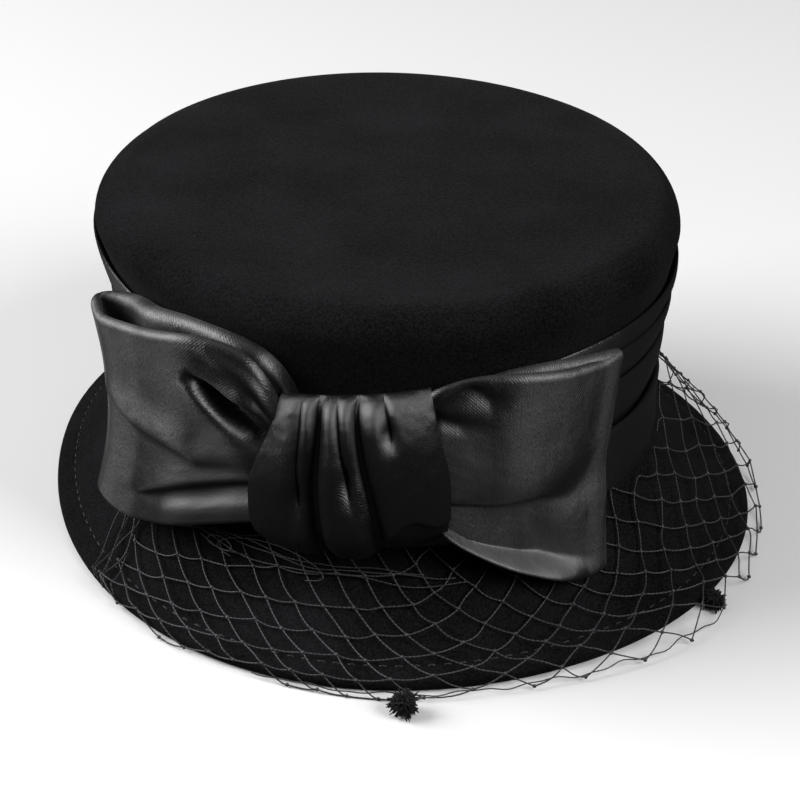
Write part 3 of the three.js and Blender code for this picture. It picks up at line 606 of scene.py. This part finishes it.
def felt_crown():
    """A cup turned round the hat's axis: a hollow flared wall, a quarter-round shoulder and a flat tip,
    outside and again one felt thickness inside. The felt waves by a fraction of a millimetre."""
    bearings = np.linspace(0, 360, CROWN_STEPS, endpoint=False)
    def profile(inset):
        heights = np.linspace(JOINT_HEIGHT, SHOULDER_HEIGHT, 24)
        wide, long = wall_oval(heights)
        angle = np.linspace(0, np.pi / 2, 14)[1:]
        radius = SHOULDER_RADIUS - inset
        out = radius * np.cos(angle) - SHOULDER_RADIUS
        rest = np.linspace(1, 0, 24)[1:]
        width = np.concatenate([wide - inset, TIP[0] + out, (TIP[0] - SHOULDER_RADIUS) * rest])
        length = np.concatenate([long - inset, TIP[1] + out, (TIP[1] - SHOULDER_RADIUS) * rest])
        level = np.full(len(rest), CROWN_HEIGHT - inset)
        height = np.concatenate([heights, SHOULDER_HEIGHT + radius * np.sin(angle), level])
        return np.stack([width, length, height], -1)
    rows = np.concatenate([profile(0.0)[::-1], profile(FELT)])
    grid = oval_point((rows[:, :1], rows[:, 1:2]), bearings, rows[:, 2:])
    height, angle = rows[:, 2:], np.radians(bearings)
    below_tip = height < CROWN_HEIGHT - 0.75 * FELT
    wave = CROWN_WAVES[0] * np.sin(3 * angle + 0.6) + CROWN_WAVES[1] * np.sin(5 * angle + height / 21)
    grid[..., :2] *= 1 + (wave * below_tip * smooth(height, *CROWN_WAVES_FROM))[..., None]
    uv = pairs(np.arange(len(rows)), np.linspace(0, CROWN_ROUND, CROWN_STEPS + 1))
    return skin("felt_crown", grid, uv, felt, closed_columns=True)


def brim_underside(share, bearing):
    """The brim's lower face: one felt thickness under the upper, two where the edge is turned under, and never
    below what the hat rests on."""
    reach = brim_reach(bearing)
    slope = (brim_top(share - 0.05) - brim_top(share + 0.05)) / (0.1 * reach)
    doubled = 1 + smooth(share, 1 - (HEM_WIDTH + HEM_STEP) / reach, 1 - (HEM_WIDTH - HEM_STEP) / reach)
    return np.maximum(0, brim_top(share) - doubled * FELT * np.hypot(1, slope))


def felt_brim():
    """A sloping oval of felt: its upper face, a half-round edge, and its underside with the turned-under hem.
    A shallow groove runs where the stitches draw the felt in."""
    bearings = np.linspace(0, 360, BRIM_STEPS, endpoint=False)[None]
    reach = brim_reach(bearings)
    last = 1 - EDGE_ROUND / reach
    top_share = np.linspace(0, 1, 64)[:, None] * last
    from_edge = (1 - top_share) * reach
    groove = GROOVE_DEPTH * bell((from_edge - STITCH_INSET) / GROOVE_HALF)
    swell = HEM_SWELL * between(from_edge, *HEM_SWELL_FROM)
    top = on_brim(top_share, bearings, brim_top(top_share) - groove + swell)
    turn = np.radians(np.linspace(90, -90, 13)[1:])[:, None]
    edge_share = 1 - EDGE_ROUND * (1 - np.cos(turn)) / reach
    edge = on_brim(edge_share, bearings, brim_top(last) / 2 * (1 + np.sin(turn)))
    under_from = lerp(EDGE_ROUND, REST_FLAT, np.linspace(0, 1, 4)[1:, None])
    flat = on_brim(1 - under_from / reach, bearings, 0.0)
    doubled = np.linspace(REST_FLAT, HEM_WIDTH - 1, 8)[1:]
    hem_end = HEM_WIDTH + np.linspace(-HEM_ROUND, HEM_ROUND, 6)
    hem_share = 1 - np.concatenate([doubled, hem_end])[:, None] / reach
    inner_share = np.linspace(1, 0, 24)[1:-1, None] * (1 - (HEM_WIDTH + HEM_ROUND) / reach)
    under_share = np.concatenate([hem_share, inner_share])
    under = on_brim(under_share, bearings, brim_underside(under_share, bearings))
    head_top = oval_point(HEAD, bearings, JOINT_HEIGHT - SEAM_GAP)
    head_low = oval_point(HEAD, bearings, JOINT_HEIGHT - SEAM_GAP - FELT)
    grid = np.concatenate([head_top, top, edge, flat, under, head_low])
    uv = pairs(np.arange(len(grid) + 1), np.linspace(0, BRIM_ROUND, BRIM_STEPS + 1))
    return skin("felt_brim", grid, uv, felt, closed_rows=True, closed_columns=True)


def brim_stitches():
    """Running stitches round the brim: short threads at an even pitch above the felt, and between them below,
    each dipping into the felt at its ends."""
    fine = np.linspace(0, 360, 1441)
    run = run_along(on_brim(1 - STITCH_INSET / brim_reach(fine), fine, 0.0))
    count = int(run[-1] / STITCH_PITCH)
    middles = np.arange(count) * run[-1] / count
    t = np.linspace(-1, 1, 7)
    bundles = []
    for shift, side in ((0.0, 1), (0.5, -1)):
        slip = chance.uniform(-STITCH_SLIP, STITCH_SLIP, (count, 1))
        place = middles[:, None] + shift * STITCH_PITCH + slip + t * STITCH_LENGTH / 2
        bearing = np.interp(place % run[-1], run, fine)
        share = 1 - STITCH_INSET / brim_reach(bearing)
        surface = brim_top(share) - STITCH_SUNK if side == 1 else brim_underside(share, bearing)
        height = surface + side * (STITCH_STANDS - STITCH_DIPS * t**4)
        paths = on_brim(share, bearing, height)
        bundles.append((paths, np.full(paths.shape[:2], STITCH_THREAD) * (1 - STITCH_TAPER * t**4)))
    return thread_piece("brim_stitches", bundles, sewing)


# Satin

def band_section():
    """The band's section: every pleat's form in turn, from the turned-in top edge to the foot."""
    folds = [fold for fold, _ in PLEATS] + [BAND_HEM]
    down, stand_off = BAND_TURN_IN
    rows = [np.array([[BAND_TOP - down, stand_off]])]
    for (fold, proud), below in zip(PLEATS, folds[1:]):
        form = PLEAT_FORM if below > BAND_HEM else np.concatenate([PLEAT_FORM[:5], PLEAT_END])
        down, above, share, plus = form.T
        rows.append(np.stack([fold - down * (fold - below) + above, share * proud + plus], -1))
    return spline(np.concatenate(rows), 160)


def satin_band():
    """A strip laid round the crown in pleats: a rounded section that folds back behind each next pleat, carried
    round the crown's oval, wandering up and down, drawn down behind the bow, its top edge climbing at the left,
    and rippling where it is tight."""
    bearings = np.linspace(0, 360, BAND_STEPS, endpoint=False)[:, None]
    section = band_section()
    height, stand_off = section[:, 0], section[:, 1]
    drift = BAND_DRIFT * between(height, *BAND_FREE) * np.sin(2 * np.radians(bearings + BAND_PHASE))
    drawn = BAND_DIP * bell(half_turn(bearings - BOW_BEARING) / BAND_DIP_SPREAD)
    climb = BAND_CLIMB * bell((half_turn(bearings) - BAND_CLIMB_BEARING) / BAND_CLIMB_SPREAD)
    level = height + drift - drawn * (height - BAND_FOOT) / (BAND_TOP - BAND_FOOT)
    level = level + climb * smooth(height, PLEATS[1][0], BAND_TOP - 2)
    ripple = np.sin(np.radians(9 * bearings) + height / 7) * np.sin(np.radians(4 * bearings) - height / 11)
    loose = BAND_RIPPLE * smooth(stand_off, *BAND_RIPPLE_FROM) * ripple
    middle = oval_point(wall_oval(level), bearings, level, stand_off + BAND_CLOTH / 2 + loose)
    uv = pairs(np.linspace(0, BAND_ROUND, BAND_STEPS + 1), run_along(section))
    return cloth_piece("satin_band", middle, uv, BAND_CLOTH, satin, closed_rows=True)


def fold_relief(loop_name, along, across, height):
    """How far a loop's front stands out: every fold is a ridge or valley with its own half width on either
    side of its line, plus a step that lets the upper panel overhang and dies away from the line."""
    relief = 0.0
    for fold in ({**PLAIN_FOLD, **own} for own in LOOP_FOLDS[loop_name]):
        start, end = fold["path"][0][0], fold["path"][-1][0]
        appears, dies = fold["fades"]
        off = (across - curve_through(fold["path"], np.clip(along, start, end))) * height
        narrower = lerp(1.0, fold["taper"], np.clip((along - start) / (end - start), 0, 1))
        width = np.where(off > 0, fold["above"], fold["below"]) * narrower
        fade = between(along, (start - appears, start), (end - FOLD_TAIL, end + dies))
        ridge = fold["rise"] * bell(off / width)
        step = fold["step"] / 2 * np.tanh(off / STEP_SOFTNESS) * np.exp(-np.abs(off) / width)
        relief = relief + fade * (ridge + step)
    return relief


def rolled(distance, length, turn):
    """Cloth that rolls over within a length of its edge, in an arc of a whole turn in degrees: how much height
    it loses and how far it moves inwards, at a distance from that edge."""
    run = np.maximum(0, length - distance)
    angle = run / length * np.radians(turn)
    return run - run * np.sinc(angle / np.pi), run * np.sinc(angle / 2 / np.pi) * np.sin(angle / 2)


def bow_loop(name):
    """A strip that leaves the knot, turns round at the tip and comes back behind itself: along is a half sine
    of the turn and the layer a cosine, fuller at the tip. The front hangs upright, the back leans with the
    crown, and the edges roll over towards it. The front carries the folds: a deep one stops softly in front of
    the back layer, and where there is room that gives way towards the crown."""
    loop = LOOPS[name]
    turn = np.linspace(0, 1, 220)[:, None]
    even = np.linspace(0, 1, 140)[None]
    across = lerp(even, (1 - np.cos(np.pi * even)) / 2, EDGE_CROWDING)
    half_way = np.sin(np.pi * across)
    along, layer = np.sin(np.pi * turn), -np.cos(np.pi * turn)
    near_tip = smooth(along, *LOOP_TIP_FROM)
    behind, in_front = smooth(-layer, 0.0, 0.6), smooth(layer, 0.0, 0.4)
    away, drop = (np.maximum(0, (along - start) / (1 - start)) for start in (LOOP_LEAVES, LOOP_DROPS))

    opened = lerp(LOOP_SHUT, 1.0, smooth(along, *LOOP_OPENS)) * lerp(1.0, loop["fuller"], near_tip)
    half_gap = opened * loop["half_gap"]
    centre = lerp(LOOP_ROOT_OFF, loop["stand_off"], away)
    plain = centre + layer * half_gap
    root = BOW_HEIGHT + loop["side"] * KNOT_TILT
    climbs = [1 - np.exp(-np.maximum(0, along - start) / length)
              for start, length in (loop["front_rise"], loop["back_rise"])]
    top = lerp(root + LOOP_ROOT_HALF, loop["top"] + LOOP_CREST * (1 - along), lerp(*climbs, behind))
    top = top - loop["mouth"] * in_front * between(along, *LOOP_MOUTH_FROM)
    foot_out = loop["foot_out"] * drop
    reach = brim_reach(BOW_BEARING + loop["side"] * along * loop["foot_span"])
    floor = brim_top((plain + foot_out) / reach) + LOOP_CLEARANCE
    hanging = lerp(root - LOOP_ROOT_HALF, LOOP_FOOT, drop ** loop["foot_curve"])
    foot = np.maximum(floor, hanging) + loop["corner_lift"] * near_tip

    room = np.clip((plain - BACK_ROLL_FROM) / BACK_ROLL_OVER, BACK_ROLL_LEAST, 1.0)
    roll = lerp(FRONT_ROLL, loop["back_roll"] * room, behind)
    roll_turn = lerp(FRONT_ROLL_TURN, BACK_ROLL_TURN, behind)
    hem_turn = FOOT_ROLL_TURN * np.maximum(in_front, loop["hem_round"] * near_tip)
    tall = top + roll * (1 - 1 / np.radians(roll_turn)) - foot
    lost, over = rolled((1 - across) * tall, roll, roll_turn)
    gained, under = rolled(across * tall, FOOT_ROLL, hem_turn)
    height = foot + across * tall - lost + gained
    leaning = lerp(height, BOW_LEAN, (1 + layer) / 2)

    puffed = LOOP_PUFF * between(along, *LOOP_PUFF_FROM)
    gap = np.abs(layer) * half_gap
    apart = np.maximum(LOOP_LEAST_APART, 2 * gap + puffed - LOOP_LAYERS_APART)
    deepest = -apart - np.maximum(0, centre - gap - LOOP_BEHIND)
    relief = smooth(along, *LOOP_FOLDED_FROM) * fold_relief(name, along, across, tall)
    limited = deepest + LOOP_EASE * np.logaddexp(0, (relief - deepest) / LOOP_EASE)
    pushed = np.minimum(0, limited + apart)
    relief = lerp(pushed, limited, np.maximum(in_front, near_tip))

    tip_span = lerp(loop["foot_span"], loop["top_span"], across) - loop["waist"] * half_way
    bearing = BOW_BEARING + loop["side"] * lerp(LOOP_ROOT_SPAN, tip_span, along)
    drawn_in = over + under + loop["pinch"] * half_way * near_tip
    stand_off = plain + foot_out * (1 - across) ** loop["flare"] + relief + puffed * in_front - drawn_in
    middle = oval_point(wall_oval(leaning), bearing, height, stand_off)
    uv = np.stack(np.broadcast_arrays(turn * LOOP_STRIP[0], across * LOOP_STRIP[1]), -1)
    return cloth_piece("satin_" + name, middle, uv, SATIN, satin)


def bow_knot():
    """A strip gathered over the front of the bow and in behind it: its section is a squared half round, and
    two gathers meet in a crease like two round cords, each with its own radius."""
    turn = np.linspace(0, 1, 120)[:, None]
    share = np.linspace(0, 1, 200)[None]
    across = 2 * share - 1
    rise, front = np.cos(np.pi * turn), np.sin(np.pi * turn) ** KNOT_FULLNESS
    upper = smooth(rise, -0.2, 1)
    span = lerp(KNOT_SPAN, KNOT_TOP_SPAN, upper)
    crest = 1 - KNOT_SIDE_DROP * across**2 - 0.1 * across**8
    swell = KNOT_SWELL * bell((turn - KNOT_SWELL_TURN) / KNOT_SWELL_SPREAD)
    relief = KNOT_PROUD + swell + 0 * across
    for crease in KNOT_CREASES:
        ends = [crease["path"][0][0], crease["path"][-1][0]]
        off = (share - curve_through(crease["path"], np.clip(turn, *ends))) * KNOT_WIDTH
        width = np.where(off > 0, crease["right"], crease["left"])
        near = np.clip(np.hypot(np.maximum(0, np.abs(off) - crease["flat"]), 0.2) / width, 0, 1)
        valley = 1 - np.sqrt(near * (2 - near))
        relief = relief - crease["depth"] * valley * (1 - smooth(turn, *crease["fades"]))
    for dent in KNOT_DENTS:
        wide = (share - dent["share"]) * KNOT_WIDTH / dent["wide"]
        tall = (turn - dent["turn"]) * KNOT_HEIGHT / dent["tall"]
        relief = relief - dent["depth"] * bell(wide) * bell(tall)
    arch_from, arch_to = KNOT_ARCH["path"][0][0], KNOT_ARCH["path"][-1][0]
    arch = curve_through(KNOT_ARCH["path"], np.clip(share, arch_from, arch_to))
    beneath = smooth(turn, arch, arch + 0.05) * smooth(share, arch_from - 0.015, arch_from + 0.03)
    relief = relief - KNOT_ARCH["depth"] * beneath
    stand_off = lerp(KNOT_BACK, KNOT_FRONT, front * crest) + front * relief
    sag = KNOT_SAG * np.maximum(0, -rise) * (1 - across**2)
    height = BOW_HEIGHT + KNOT_HALF_HEIGHT * rise + KNOT_TILT * across - sag
    height = height + KNOT_SCALLOP * rise * front * relief
    leaning = lerp(height, BOW_LEAN, front)
    bearing = BOW_BEARING + KNOT_TOP_SHIFT * upper + span * across
    middle = oval_point(wall_oval(leaning), bearing, height, stand_off)
    uv = np.stack(np.broadcast_arrays(turn * KNOT_STRIP[0], share * KNOT_STRIP[1]), -1)
    return cloth_piece("satin_bow_knot", middle, uv, SATIN, satin)


# Net veil

def veil_hang(bearing):
    """Overhang, bulge and lift of the veil at a bearing, eased from one row of its table to the next."""
    upper = np.clip(np.searchsorted(VEIL_SECTIONS[:, 0], bearing), 1, len(VEIL_SECTIONS) - 1)
    share = smooth(bearing, VEIL_SECTIONS[upper - 1, 0], VEIL_SECTIONS[upper, 0])[..., None]
    return np.moveaxis(lerp(VEIL_SECTIONS[upper - 1, 1:], VEIL_SECTIONS[upper, 1:], share), -1, 0)


def on_veil(bearing, down, lift_off=0.0):
    """A point of the veil: from the band (down 0) out over the brim to its edge, then down to the hem (1)."""
    overhang, bulge, lift = veil_hang(bearing)
    reach = brim_reach(bearing)
    flare = wall_oval(JOINT_HEIGHT + lift)[0] - FOOT[0]
    inner = lerp(NET_TUCK, PLEATS[-1][1] + flare + NET_OFF_BAND, smooth(lift, 0, 3)) / reach
    over = np.minimum(1, down / VEIL_EDGE)
    share = lerp(inner, 1 + VEIL_TURN * overhang / reach, over)
    height = brim_top(share) + NET_LEVEL + lift * (1 - over) + bulge * smooth(over, 0.3, 1)
    fall = np.maximum(0, (down - VEIL_EDGE) / (1 - VEIL_EDGE))
    share = lerp(share, 1 + overhang / reach, fall)
    height = np.maximum(lerp(height, NET_HEM, fall) + lift_off, 2 * NET_THREAD)
    return on_brim(share, bearing, height)


def net_knots():
    """Where the net's threads cross. Each set of threads is the level lines of slope times distance out plus
    a running sum round the hat, which gives the lie of the threads at every bearing; the crossings are found
    from the nearest of a fine grid of places and then by Newton's steps."""
    fine = np.linspace(-112, 128, 961)
    window = np.hanning(2 * NET_EASE + 1) / np.hanning(2 * NET_EASE + 1).sum()
    table = [np.pad(np.interp(fine, NET_LIE[:, 0], column), NET_EASE, "edge") for column in NET_LIE[:, 1:].T]
    *lies, first_space, second_space = [np.convolve(column, window, "valid") for column in table]
    step = np.diff(run_along(on_brim(NET_MIDDLE, fine, 0.0)), prepend=0.0)
    slopes, sums = [], []
    for lie, space in zip(np.radians(lies), (first_space, second_space)):
        slopes.append(-np.sin(lie) / space)
        sums.append(np.cumsum(np.cos(lie) / space * step))

    def threads(bearing, out):
        numbers = [np.interp(bearing, fine, slope) * out + np.interp(bearing, fine, total)
                   for slope, total in zip(slopes, sums)]
        return np.stack(numbers, -1)

    seed_bearing, seed_out = pairs(np.linspace(-105, 120, 226), np.linspace(-34, 34, 35)).reshape(-1, 2).T
    seeds = threads(seed_bearing, seed_out)
    low, high = np.floor(seeds.min(0)).astype(int), np.ceil(seeds.max(0)).astype(int)
    crossings = pairs(np.arange(low[0], high[0] + 1), np.arange(low[1], high[1] + 1))
    target = crossings.reshape(-1, 2).astype(float)
    nearest = ((target[:, None] - seeds[None]) ** 2).sum(-1).argmin(1)
    bearing, out = seed_bearing[nearest], seed_out[nearest]
    for _ in range(NEWTON_ROUNDS):
        here = threads(bearing, out)
        by_bearing = (threads(bearing + NEWTON_STEP, out) - here) / NEWTON_STEP
        by_out = (threads(bearing, out + NEWTON_STEP) - here) / NEWTON_STEP
        miss = target - here
        turn = by_bearing[:, 0] * by_out[:, 1] - by_bearing[:, 1] * by_out[:, 0]
        turn = np.where(np.abs(turn) < LEAST_TURN, LEAST_TURN, turn)
        bearing_step = (miss[:, 0] * by_out[:, 1] - miss[:, 1] * by_out[:, 0]) / turn
        out_step = (miss[:, 1] * by_bearing[:, 0] - miss[:, 0] * by_bearing[:, 1]) / turn
        bearing, out = np.clip(bearing + bearing_step, -110, 125), np.clip(out + out_step, -40, 40)
    found = np.abs(threads(bearing, out) - target).max(-1) < NEAR_ENOUGH
    return [row.reshape(crossings.shape[:2]) for row in (bearing, out / VEIL_LENGTH + 0.5, found)]


def net_veil():
    """A net of knotted threads: straight runs between crossings, each sagging a little, a small knot at every
    crossing, and slack threads where the net was gathered in beside the bow."""
    bearing, down, found = net_knots()
    bearing = bearing + chance.normal(0, NET_BEARING_SPREAD, bearing.shape)
    down = down + chance.normal(0, NET_DOWN_SPREAD, down.shape)
    left = lerp(VEIL_INNER_START, VEIL_OUTER_START, np.clip(down, 0, 1))
    inside = found & (bearing > left) & (bearing < VEIL_END) & (down < VEIL_LAST)
    lift = chance.uniform(*NET_LIFT, bearing.shape)
    t = np.linspace(0, 1, 7)
    arch = np.sin(np.pi * t)
    paths = []
    for a, b in ((np.s_[:-1], np.s_[1:]), (np.s_[:, :-1], np.s_[:, 1:])):
        both = inside[a] & inside[b] & (np.maximum(down[a], down[b]) > 0.0)
        ends = [np.stack([bearing[k][both], down[k][both], lift[k][both]], -1) for k in (a, b)]
        run = lerp(ends[0][:, None], ends[1][:, None], t[:, None])
        bow = chance.normal(0, 1, (len(run), 2, 1)) * arch
        run[..., 0] += NET_RUN_SPREAD[0] * bow[:, 0]
        run[..., 1] += NET_RUN_SPREAD[1] * bow[:, 1]
        run[..., 2] -= NET_SAG * arch
        paths.append(on_veil(run[..., 0], np.clip(run[..., 1], 0.0, 1.0), run[..., 2]))
    straight = np.concatenate(paths)
    bundles = [(straight, np.full(straight.shape[:2], NET_THREAD))]
    for slack in (gathered_threads(), left_bunch(), slack_hoops()):
        bundles.append((slack, np.full(slack.shape[:2], NET_SLACK_THREAD)))
    knots = inside & (down > 0.0)
    middle = on_veil(bearing[knots], np.clip(down[knots], 0, 1), lift[knots])
    lean = chance.uniform(0, np.pi, len(middle))
    reach = NET_KNOT_REACH * np.stack([np.cos(lean), np.sin(lean), 0.1 + 0 * lean], -1)
    s = np.linspace(-1, 1, 5)
    blobs = middle[:, None] + s[:, None] * reach[:, None]
    bundles.append((blobs, np.tile(NET_KNOT * np.sqrt(1.02 - s**2), (len(middle), 1))))
    return thread_piece("net_veil", bundles, netting)


def gathered_threads():
    """Threads of the gathered inner edge: runs round the hat beside the bow, waving in and out and up."""
    start, end, down, wave, turns, lift = GATHERED.T[:, :, None]
    t = np.linspace(0, 1, 90)
    sway = np.sin(2 * np.pi * turns * t + 3 * turns) + 0.5 * np.sin(2 * np.pi * 2.3 * turns * t + turns)
    rise = lift * (1 + np.sin(2 * np.pi * 1.3 * turns * t))
    return on_veil(lerp(start, end, t), np.clip(down + wave * sway, 0, 1), rise)


def left_bunch():
    """Strands drawn together down the veil's left side, crossing each other as they sway."""
    first, last, sway = LEFT_BUNCH.T[:, :, None]
    t = np.linspace(0, 1, 60)
    swing = np.sin(2 * np.pi * (1.2 * t + first / 7)) * np.sin(np.pi * np.clip(t, 0.05, 0.95))
    return on_veil(lerp(first, last, t) + sway * swing, lerp(0.02, 0.93, t), 0.5 + 0.7 * np.sin(9 * t + first))


def slack_hoops():
    """Slack hoops: out and back again round a leaning oval, rising off the brim in the middle."""
    bearing, down, width, rise, lean = HOOPS.T[:, :, None]
    t = np.linspace(0, 1, 40)
    across = (t - 0.5) + 0.45 * np.sin(2 * np.pi * t) * np.sign(lean)
    out = 0.07 * lean * np.sin(np.pi * t) + 0.03 * np.sin(3 * np.pi * t)
    return on_veil(bearing + width * across, np.clip(down + out, 0, 1), rise * np.sin(np.pi * t) ** 0.8)


def chenille_dot(name):
    """A tuft of cut pile: fibres leave the middle evenly in all directions, thin out to their tips and droop,
    round a core that is a little smaller."""
    dot = DOTS[name]
    middle = on_brim(1 + dot["beyond"] / brim_reach(dot["bearing"]), dot["bearing"], dot["radius"])
    count, radius = dot["fibres"], dot["radius"]
    index = np.arange(count) + 0.5
    height = 1 - 2 * index / count
    turn = np.pi * (1 + 5**0.5) * index
    flat = np.sqrt(1 - height**2)
    aim = np.stack([flat * np.cos(turn), flat * np.sin(turn), height], -1)
    aim = unit(aim + chance.normal(0, DOT_SCATTER, aim.shape))
    clumps = 0.5 + 0.5 * np.sin(5 * np.arctan2(aim[:, 1], aim[:, 0]) + 4 * aim[:, 2])
    long = radius * (0.78 + 0.2 * clumps + chance.uniform(-0.1, 0.14, count))
    t = np.linspace(0, 1, 4)
    paths = middle + aim[:, None] * (long[:, None] * lerp(0.15, 1.0, t))[..., None]
    curl = chance.normal(0, DOT_CURL, (count, 3))
    paths = paths + curl[:, None] * (t**2)[:, None]
    paths[..., 2] = np.maximum(paths[..., 2] - DOT_DROOP * t**2, DOT_FLOOR)
    radii = np.broadcast_to(DOT_FIBRE * (1 - 0.6 * t), paths.shape[:2])
    s = np.linspace(-1, 1, 9)
    core = middle + np.stack([0 * s, 0 * s, s * radius * DOT_CORE], -1)[None]
    core_radii = (radius * DOT_CORE * np.sqrt(1.01 - s**2))[None]
    return thread_piece("pile_" + name, [(paths, radii), (core, core_radii)], chenille, sides=5)


pieces = {
    "crown": (felt_crown(), "wool_felt"),
    "brim": (felt_brim(), "wool_felt"),
    "hat_band": (satin_band(), "satin"),
    "bow_loop_left": (bow_loop("bow_loop_left"), "satin"),
    "bow_loop_right": (bow_loop("bow_loop_right"), "satin"),
    "bow_knot": (bow_knot(), "satin"),
    "veil": (net_veil(), "net"),
    "veil_dot_front": (chenille_dot("veil_dot_front"), "chenille"),
    "veil_dot_side": (chenille_dot("veil_dot_side"), "chenille"),
}
for node, (piece, slot) in pieces.items():
    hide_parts(node)
stitches = brim_stitches()


# Stage: a pale floor, one large soft light overhead and one at either side, and the camera

# Soft lights: place and aim in metres, width in metres and power in watts
LIGHTS = {
    "overhead": dict(place=(-0.2, 0.2, 1.9), aim=(0, 0, 0.05), size=2.0, power=6),
    "left": dict(place=(-1.36, 0.62, 1.0), aim=(0, 0, 0.06), size=1.3, power=38),
    "right": dict(place=(0.7, -1.3, 1.15), aim=(0, 0, 0.06), size=1.0, power=23),
}
WORLD_LIGHT = 0.035
CAMERA_OFFSET, AIM_OFFSET, LENS = (-0.2871, -0.6533, 0.4362), (0.00385, -0.00169, 0.028), 103.56
FLOOR_HALF = 6


def studio_floor():
    """A wide level sheet of matt white card."""
    mesh = bpy.data.meshes.new("floor")
    corners = [(x * FLOOR_HALF, y * FLOOR_HALF, 0) for x, y in ((-1, -1), (1, -1), (1, 1), (-1, 1))]
    mesh.from_pydata(corners, [], [(0, 1, 2, 3)])
    material, tree = new_material("white_card_matt")
    finish_material(tree, linear("#f8f8f8"), 0.9, {"Specular IOR Level": 0.2})
    mesh.materials.append(material)
    floor = new_object("floor", mesh)
    floor.visible_diffuse = floor.visible_glossy = False


def face(thing, place, aim):
    """Sets a light or camera at a place, looking at a point."""
    place, aim = Vector(place), Vector(aim)
    thing.location = place
    thing.rotation_euler = (aim - place).to_track_quat("-Z", "Y").to_euler()


def soft_light(name, place, aim, size, power):
    """A square soft light at a place, facing a point."""
    data = bpy.data.lights.new(name, "AREA")
    data.shape, data.size, data.energy = "SQUARE", size, power
    face(new_object(name, data), place, aim)


def look_from(offset, aim_offset, lens):
    """The camera at an offset from the hat's axis, facing another, both in metres."""
    data = bpy.data.cameras.new("camera")
    data.lens, data.sensor_width, data.clip_start = lens, 36.0, 0.01
    camera = new_object("camera", data)
    face(camera, HAT_AXIS + offset, HAT_AXIS + aim_offset)
    bpy.context.scene.camera = camera


studio_floor()
for light_name, light in LIGHTS.items():
    soft_light(light_name, **light)
world = bpy.data.worlds.new("studio")
world.use_nodes = True
sky = world.node_tree.nodes["Background"].inputs
sky["Color"].default_value, sky["Strength"].default_value = (1, 1, 1, 1), WORLD_LIGHT
bpy.context.scene.world = world
bpy.context.scene.view_settings.view_transform = "Standard"
look_from(CAMERA_OFFSET, AIM_OFFSET, LENS)
